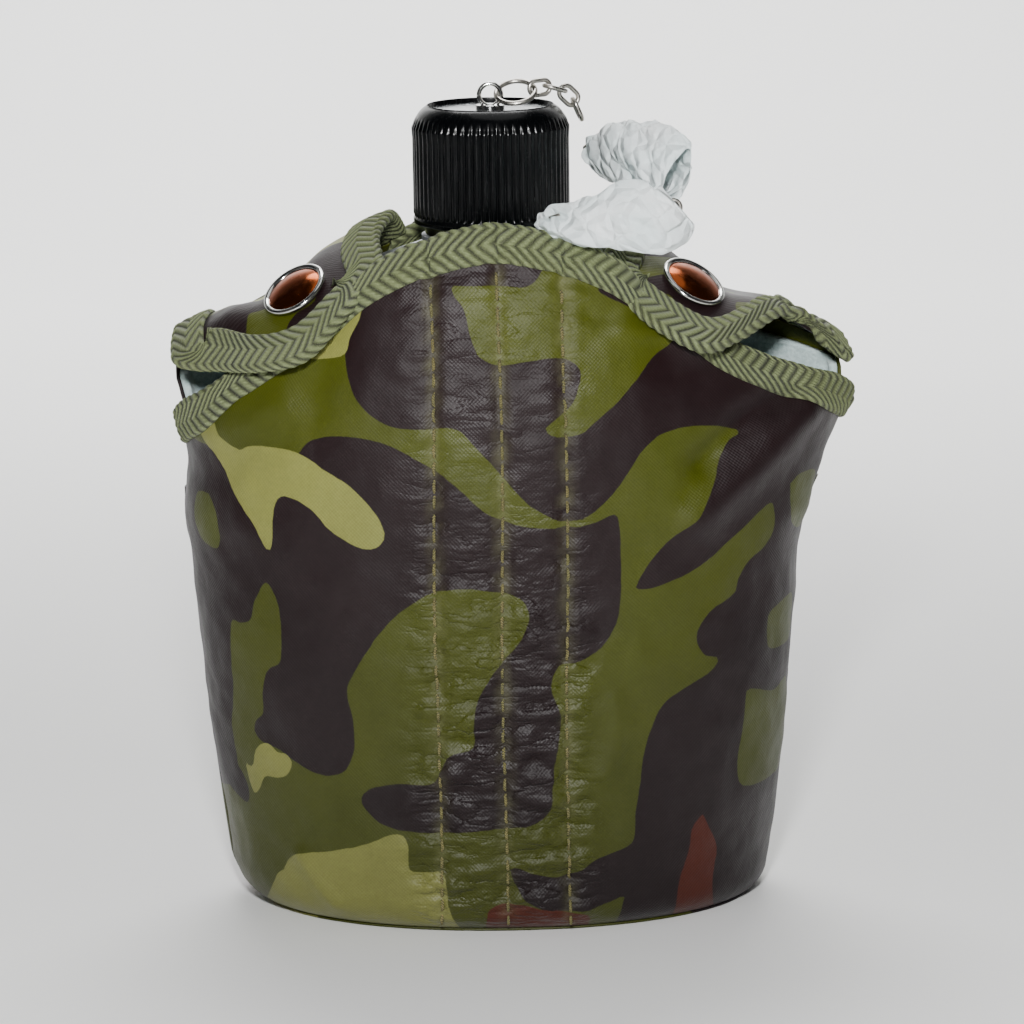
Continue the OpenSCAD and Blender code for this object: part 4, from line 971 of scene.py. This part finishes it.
def addCap(c=capSize):
    per = 10
    a = np.linspace(0, 2 * np.pi, c["ribs"] * per, endpoint=False)
    wave = (np.abs(np.cos(a * c["ribs"] / 2)) ** 0.8) * 2 - 1
    low, top = c["bottom"], c["bottom"] + c["height"]
    rings = []
    def ring(r, z, rib=0.0):
        rr = r + rib * c["rib"] * wave
        rings.append(np.stack([rr * np.cos(a), rr * np.sin(a), np.full(len(a), z)], -1))
    ring(c["bore"], low + 0.3)
    ring(c["bore"] + 0.3, low)
    ring(c["radius"] - 0.1, low)
    ring(c["radius"] + 0.25, low + 0.25)
    ring(c["radius"] + 0.3, low + c["lip"] - 0.3)
    ring(c["radius"] + 0.05, low + c["lip"])
    for z, k in ((0.3, 0.4), (0.7, 0.9), (1.2, 1), (8, 1), (15, 1), (18.2, 1)):
        ring(c["radius"], low + c["lip"] + z, k)
    start = top - c["crown"]
    for t in np.linspace(0, 1, 16):
        turnA = math.radians(64.5) * t
        r = c["radius"] - c["crown"] + c["crown"] * math.cos(turnA)
        ring(r + (0.15 if t < 0.1 else 0), start + c["crown"] * math.sin(turnA),
             max(0.0, 1 - t / 0.42) ** 0.7)
    ring(c["recess"] + 0.15, top - 0.52)
    ring(c["recess"], top - 0.75)
    ring(c["recess"], top - c["recessDeep"] + 0.15)
    ring(c["recess"] - 0.15, top - c["recessDeep"])
    ring(c["post"], top - c["recessDeep"])
    ring(c["post"], c["ceiling"])
    ring(c["bore"] - 0.4, c["ceiling"])
    ring(c["bore"], c["ceiling"] - 0.4)
    return addRings("capShell", np.array(rings), blackPlastic, closedEnds=False, loopV=True)

def addHelix(name, rootR, tipR, z0, pitch, turns, phase, material):
    steps = int(turns * 72)
    i = np.arange(steps + 1)
    a = phase + 2 * np.pi * i / 72
    z = z0 + pitch * i / 72
    reach = np.minimum(1, np.minimum(i, steps - i) / 10 + 0.1)
    tip = rootR + (tipR - rootR) * reach
    rings = []
    for r, dz in ((rootR, -1.0), (tip * 0.7 + rootR * 0.3, -0.62), (tip, -0.3), (tip, 0.3),
                  (tip * 0.7 + rootR * 0.3, 0.62), (rootR, 1.0)):
        r = r + 0 * a
        rings.append(np.stack([r * np.cos(a), r * np.sin(a), z + dz], -1))
    return addRings(name, np.array(rings).transpose(1, 0, 2), material)

attach(addCap(), "cap", "black_cap", "cap_shell")
threadStart = 163.35 + 2.0 + 5.0
attach(addHelix("capThread", capSize["bore"] + 0.1, capSize["bore"] - 1.3, threadStart, 4.5, 1.6, math.pi,
                blackPlastic), "cap", "black_cap")

# bottle: pressed aluminium in two halves, welded round the shoulder, slightly dented
bottle = {"floor": 3.05, "footRound": 10.0, "wall": 1.2, "seam": 96.0, "dents": 0.35, "weld": 0.55}

def bottleHalf(size, z, curve):
    inset = 0.0
    if z < form["shoulder"]:
        h = z - bottle["floor"]
        r = bottle["footRound"]
        inset = r - math.sqrt(max(r * r - (r - h) ** 2, 0)) if h < r else 0
        return size * float(taper(z)) - inset
    rise = min(1, max(0, (z - form["shoulder"]) / form["dome"]))
    a = size * max(0, 1 - rise ** curve) ** (1 / curve)
    return (a ** 4 + (form["neck"] + 2) ** 4) ** 0.25

def bottleRing(z, less=0.0, steps=176):
    a = np.linspace(0, 2 * np.pi, steps, endpoint=False)
    rise = min(1, max(0, (z - form["shoulder"]) / form["dome"]))
    hip = form["hip"] * (max(0, 1 - rise ** 2))
    return ringPoint(bottleHalf(form["wide"], z, 2.05) - less, bottleHalf(form["deep"], z, 2.4) - less,
                     np.full(steps, z), a, hip)

def addBottle():
    cup = [bottle["floor"] + bottle["footRound"] * (1 - math.cos(t))
           for t in np.linspace(0.02, math.pi / 2, 12)]
    cup += list(np.linspace(bottle["floor"] + bottle["footRound"] + 3, bottle["seam"] - 4, 30))
    outer = np.array([bottleRing(z) for z in cup])
    n = gridNormals(outer)
    outer = outer + n * (bottle["dents"] * np.minimum(0, bumps(outer, 22, 31)))[..., None]
    inner = outer[::-1] - n[::-1] * bottle["wall"]
    around = np.linspace(0, 2 * np.pi, outer.shape[1], endpoint=False)
    middle = 0.05 * np.stack([np.cos(around), np.sin(around), 0 * around], -1)[None]
    middle = middle + [0, form["hip"] * 0.3, bottle["floor"]]
    rings = np.vstack([middle, outer, inner, middle + [0, 0, bottle["wall"]]])
    attach(addRings("bottleCup", rings, bottleAluminium), "bottle_and_cover", "bottle_metal", "bottle_cup")
    dome = [bottle["seam"] - 3.0, bottle["seam"] - 1.5, bottle["seam"], bottle["seam"] + 1.5]
    dome += [form["shoulder"] + form["dome"] * math.sin(t)
             for t in np.linspace(math.radians(2), math.radians(86.5), 44)]
    outer = np.array([bottleRing(z) for z in dome])
    n = gridNormals(outer)
    rise = np.clip((outer[..., 2] - form["shoulder"]) / form["dome"], 0, 1)
    bead = bottle["weld"] * np.exp(-((outer[..., 2] - bottle["seam"] - 0.2) / 1.2) ** 2)
    outer = outer + n * (bead + bottle["dents"] * (1 - rise ** 4)
                         * np.minimum(0, bumps(outer, 24, 33)))[..., None]
    inner = outer[::-1] - n[::-1] * (bottle["wall"] * (1 - 0.55 * rise[::-1] ** 3))[..., None]
    attach(addRings("bottleShoulder", np.vstack([outer, inner]), bottleAluminium, closedEnds=False,
                    loopV=True), "bottle_and_cover", "bottle_metal", "bottle_shoulder")

addBottle()
print("cap and bottle made")

# tissue paper left round the slack of the chain, as crumpled tubes along the two arms
rim = 194.15
eyePoint = np.array([21.2 * math.cos(math.radians(-63)), 21.2 * math.sin(math.radians(-63)), 164.35])
elbow = np.array([44.0, -36.0, rim - 14])
upperRoute = [np.array(p) for p in [(23.4, -2, rim - 11), (27, -11, rim - 8), (32.5, -21, rim - 7),
                                    (38.5, -30, rim - 9)]] + [elbow]
lowerRoute = [eyePoint + d for d in [(2.4, -4.6, 3.2), (5, -8, 6.2), (11, -12.5, 7.4), (19.5, -16, 6.2),
                                     (28.5, -17.8, 7)]] + [elbow + (-1.5, -0.4, -2.4)]
paper = {"thick": 0.22, "crumple": 3.2, "fine": 1.7, "pleats": 5,
         "upperShift": [(0.4, -1, -1.6), (0.2, 0, -3.2), (0, 0, -4.2), (-1.4, 0, -2.4), (-2.8, 0, -0.5)],
         "upperSizes": [(1.8, 2.6), (3.2, 5.6), (4.0, 7.6), (4.4, 8.6), (4.6, 8.6), (3.6, 7.2)],
         "lowerShift": [(-1.4, 0, 0.6), (0, 0, -0.9), (0, 0, -2.3), (0, 0, 0), (-0.6, 0, 0.6),
                        (-1.8, 0, -3.4)],
         "lowerSizes": [(1.6, 1.8), (3.0, 3.6), (4.4, 5.4), (4.8, 6.8), (4.8, 7.8), (2.8, 6.4)]}

def facets(u, v, wrap, seed):      # flat facets meeting in sharp creases; v goes round
    rng = np.random.default_rng(seed)
    wander = 0.3 * np.sin(2.1 * u + 1.7 * np.sin(2 * np.pi * v / wrap * 2) + seed)
    u, v = u + wander, v + 0.35 * np.sin(1.3 * u + seed)
    table = rng.uniform(-1, 1, (40, wrap))
    i, j = np.floor(u).astype(int), np.floor(v).astype(int)
    fu, fv = u - i, v - j
    def pick(di, dj):
        return table[(i + di) % 40, (j + dj) % wrap]
    a, b, c, d = pick(0, 0), pick(1, 0), pick(0, 1), pick(1, 1)
    return np.where(fu + fv < 1, a + fu * (b - a) + fv * (c - a),
                    d + (1 - fu) * (c - d) + (1 - fv) * (b - d))

def addPaper(name, route, sizes, seed, body, slotName, node, rows=120, sides=112):
    k = np.linspace(0, 1, rows)
    centre = along(route, k)
    t = unit(np.gradient(centre, axis=0))
    side = unit(np.cross(t, [0, 0, 1]))
    up = np.cross(side, t)
    size = along(sizes, k)
    a = np.linspace(0, 2 * np.pi, sides, endpoint=False)
    wob = 1 + 0.08 * np.cos(3 * a[None] + 4.0 * k[:, None] + seed)
    wob = wob + 0.05 * np.cos(paper["pleats"] * a[None] + 9 * k[:, None])
    sideways = side[:, None] * (size[:, :1] * np.cos(a) * wob)[..., None]
    upward = up[:, None] * (size[:, 1:2] * np.sin(a) * wob)[..., None]
    tube = centre[:, None] + sideways + upward
    out = unit(tube - centre[:, None])
    length = np.linalg.norm(np.diff(centre, axis=0), axis=1).sum()
    ku, kv = k[:, None] + 0 * a[None], a[None] / (2 * np.pi) + 0 * k[:, None]
    d = paper["crumple"] * 0.5 * facets(ku * length / 7.5, kv * 7, 7, seed)
    d += paper["fine"] * 0.5 * facets(ku * length / 3.1, kv * 16, 16, seed + 1)
    d += 0.22 * facets(ku * length / 1.5, kv * 31, 31, seed + 2)
    ends = np.minimum(1, np.minimum(k, 1 - k) / 0.08 + 0.3)
    skin = tube + out * (d * ends[:, None])[..., None]
    inner = skin - out * paper["thick"]
    return attach(addRings(name, np.vstack([skin, inner[::-1]]), tissue, closedEnds=False, loopV=True),
                  body, slotName, node)

for part, route, seed in (("upper", upperRoute, 41), ("lower", lowerRoute, 57)):
    shifted = [p + d for p, d in zip(route, paper[part + "Shift"])]
    addPaper("tissue" + part.title(), shifted, paper[part + "Sizes"], seed, "chain_" + part,
             "packing_paper", "wrap_" + part)

# belt loops: webbing sewn to the back at both ends, with crossed box stitching
loop = {"width": 26.0, "length": 78.0, "gap": 7.0, "thick": 1.8, "spacing": 62.0, "pad": 9.0, "top": 104.0}

def backY(x, z):
    w, d = float(coverHalf(form["wide"], z)), float(coverHalf(form["deep"], z))
    curve = (1 - (x / w) ** form["square"]) ** (1 / form["square"])
    return d * curve + form["hip"] * (x / form["wide"]) ** 2

def addLoop(side, sign):
    x, low = loop["spacing"] / 2, loop["top"] - loop["length"]
    run = loop["width"] / 1.5
    slope = math.atan((backY(x + loop["width"] / 3, low) - backY(x - loop["width"] / 3, low)) / run)
    out = loop["gap"] + 0.2
    knots = [(low, 0.2), (low + loop["pad"] * 0.5, 0.2), (low + loop["pad"], 0.4),
             (low + loop["pad"] + out * 0.6, out * 0.55), (low + loop["pad"] + out * 1.3, out),
             (low + loop["length"] * 0.5, out + 0.4), (loop["top"] - loop["pad"] - out * 1.3, out),
             (loop["top"] - loop["pad"] - out * 0.6, out * 0.55), (loop["top"] - loop["pad"], 0.4),
             (loop["top"] - loop["pad"] * 0.5, 0.2), (loop["top"], 0.2)]
    path = along([(z, y, 0) for z, y in knots], np.linspace(0, 1, 120))
    across = np.linspace(-loop["width"] / 2, loop["width"] / 2, 26)
    cs, sn = math.cos(slope), math.sin(slope)
    rows = []
    for z, y, _ in path:
        base = backY(x, z) - backY(x, low) + y
        px, py = across, np.full(26, base) + 0.25 * np.cos(across / 13 * math.pi)
        rows.append(np.stack([x + px * cs - py * sn, backY(x, low) + px * sn + py * cs, np.full(26, z)],
                             -1))
    g = np.array(rows)
    g[..., 0] *= sign
    n = gridNormals(g)
    if n[60, 13, 1] < 0:
        g = g[:, ::-1]
        n = gridNormals(g)
    uv = lengths(g)
    rib = 0.14 * np.sin(uv[..., 1] * 2 * math.pi / 1.8)
    outer = g + n * (loop["thick"] + rib)[..., None]
    attach(addSheet("beltLoop" + side, outer, g, webbing, uv), "bottle_and_cover", "olive_webbing",
           "belt_loop_" + side.lower())
    on = outer + n * 0.05
    for end in ((2, 13), (106, 117)):
        a, b = end
        c0, c1 = 2, 23
        corners = [on[a, c0], on[a, c1], on[b, c1], on[b, c0], on[a, c0], on[b, c1], on[b, c0], on[a, c1]]
        sides = [np.linspace(p, q, 14, endpoint=False) for p, q in zip(corners[:-1], corners[1:])]
        line = np.vstack(sides + [[corners[-1]]])
        normal = np.tile(n[(a + b) // 2, 13], (len(line), 1))
        attach(addStitches("loopStitches%s%d" % (side, a), line, normal, pitch=2.6, length=2.1,
                           threadRadius=0.22), "bottle_and_cover", "olive_webbing")

addLoop("Right", 1)
addLoop("Left", -1)
print("tissue and belt loops made")

# CAD pieces that keep their shape
finishes = {"neck_spout": (bottleAluminium, "bottle_metal"), "neck_collar": (brightPlate, "bright_metal"),
            "collar_ring": (chainSteel, "chain_steel"), "cap_top_disc": (discMetal, "bright_metal"),
            "cap_gasket": (gasketRubber, "gasket_rubber"), "swivel_post": (brightPlate, "bright_metal"),
            "swivel_ring": (chainSteel, "chain_steel"), "chain_top_links": (chainSteel, "chain_steel"),
            "chain_upper_links": (chainSteel, "chain_steel"),
            "chain_lower_links": (chainSteel, "chain_steel")}
for side in ("left", "right"):
    for part in ("snap_socket_", "snap_stud_", "snap_post_"):
        finishes[part + side] = (brightPlate, "bright_metal")
for name, (finish, slotName) in finishes.items():
    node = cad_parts[name]
    for i in range(max(1, len(node.material_slots))):
        if len(node.data.materials) <= i:
            node.data.materials.append(finish)
        else:
            node.data.materials[i] = finish

# floor, light and camera, in metres and degrees; the floor's sweep in millimetres
stage = {"aim": (0.0038, 0.0, 0.0956), "distance": 0.92, "azimuth": -1.5, "elevation": 12.3,
         "lens": 134.8, "roll": 0.8, "world": 0.05, "floorHalf": 2200, "floorFront": -1600,
         "floorBack": 900, "floorCurve": 500}
lights = {      # place, target, size, power, tint
    "flashLight": ((-0.03, -0.62, 0.35), (0, 0, 0.13), 0.06, 5.4, (1, 1, 1)),
    "topSoft": ((0.1, 0.0, 1.1), (0, 0, 0.1), 0.8, 1.4, (1, 1, 1)),
    "leftSoft": ((-0.9, -0.5, 0.5), (0, 0, 0.1), 0.7, 0.1, (1.0, 0.85, 0.78)),
    "rightSoft": ((0.9, -0.4, 0.4), (0, 0, 0.1), 0.7, 0.1, (1.0, 0.85, 0.78)),
    "backdropLight": ((0, 0.75, 1.3), (0, 1.3, 0.0), 0.9, 20, (1, 1, 1)),
    "backdropLow": ((0, 0.7, 1.0), (0, 1.4, 0.6), 0.9, 14, (1, 1, 1))}
floorMaterial, floorTree, floorShader = newMaterial("paleFloor", Roughness=0.85)
floorCoords = floorTree.nodes.new("ShaderNodeTexCoord").outputs["Object"]
floorNoise = noiseOn(floorTree, floorCoords, 3, 2)
floorTone = blendColour(floorTree, floorNoise, colour(236, 236, 234), colour(246, 246, 245))
floorTree.links.new(floorTone, floorShader.inputs["Base Color"])

def addSweep():      # a floor that curves up behind into a backdrop
    half, back, r = stage["floorHalf"], stage["floorBack"], stage["floorCurve"]
    profile = [(stage["floorFront"], 0), (back, 0)]
    profile += [(back + r * math.sin(t), r - r * math.cos(t)) for t in np.linspace(0.1, math.pi / 2, 12)]
    profile.append((back + r, 2200))
    verts = np.array([[(-half, y, z), (half, y, z)] for y, z in profile], float).reshape(-1, 3)
    faces = [(2 * i, 2 * i + 1, 2 * i + 3, 2 * i + 2) for i in range(len(profile) - 1)]
    addObject("paleSweep", verts, faces, floorMaterial)

addSweep()

def towards(obj, target):
    obj.rotation_euler = (Vector(target) - obj.location).to_track_quat("-Z", "Y").to_euler()

def addLight(name, place, target, size, power, tint):
    data = bpy.data.lights.new(name, "AREA")
    data.shape = "DISK"
    data.size = size
    data.energy = power
    data.color = tint
    obj = bpy.data.objects.new(name, data)
    bpy.context.collection.objects.link(obj)
    obj.location = place
    towards(obj, target)
    return obj

az, el = math.radians(stage["azimuth"]), math.radians(stage["elevation"])
aim = Vector(stage["aim"])
outward = Vector((math.sin(az) * math.cos(el), -math.cos(az) * math.cos(el), math.sin(el)))
cameraData = bpy.data.cameras.new("camera")
cameraData.lens = stage["lens"]
cameraData.sensor_width = 36
camera = bpy.data.objects.new("camera", cameraData)
bpy.context.collection.objects.link(camera)
camera.location = aim + outward * stage["distance"]
towards(camera, aim)
camera.rotation_euler.rotate_axis("Z", -math.radians(stage["roll"]))
bpy.context.scene.camera = camera

for name, values in lights.items():
    addLight(name, *values)
world = bpy.data.worlds.new("softRoom")
bpy.context.scene.world = world
world.use_nodes = True
world.node_tree.nodes["Background"].inputs[0].default_value = (0.9, 0.93, 1.0, 1)
world.node_tree.nodes["Background"].inputs[1].default_value = stage["world"]
print("stage set")
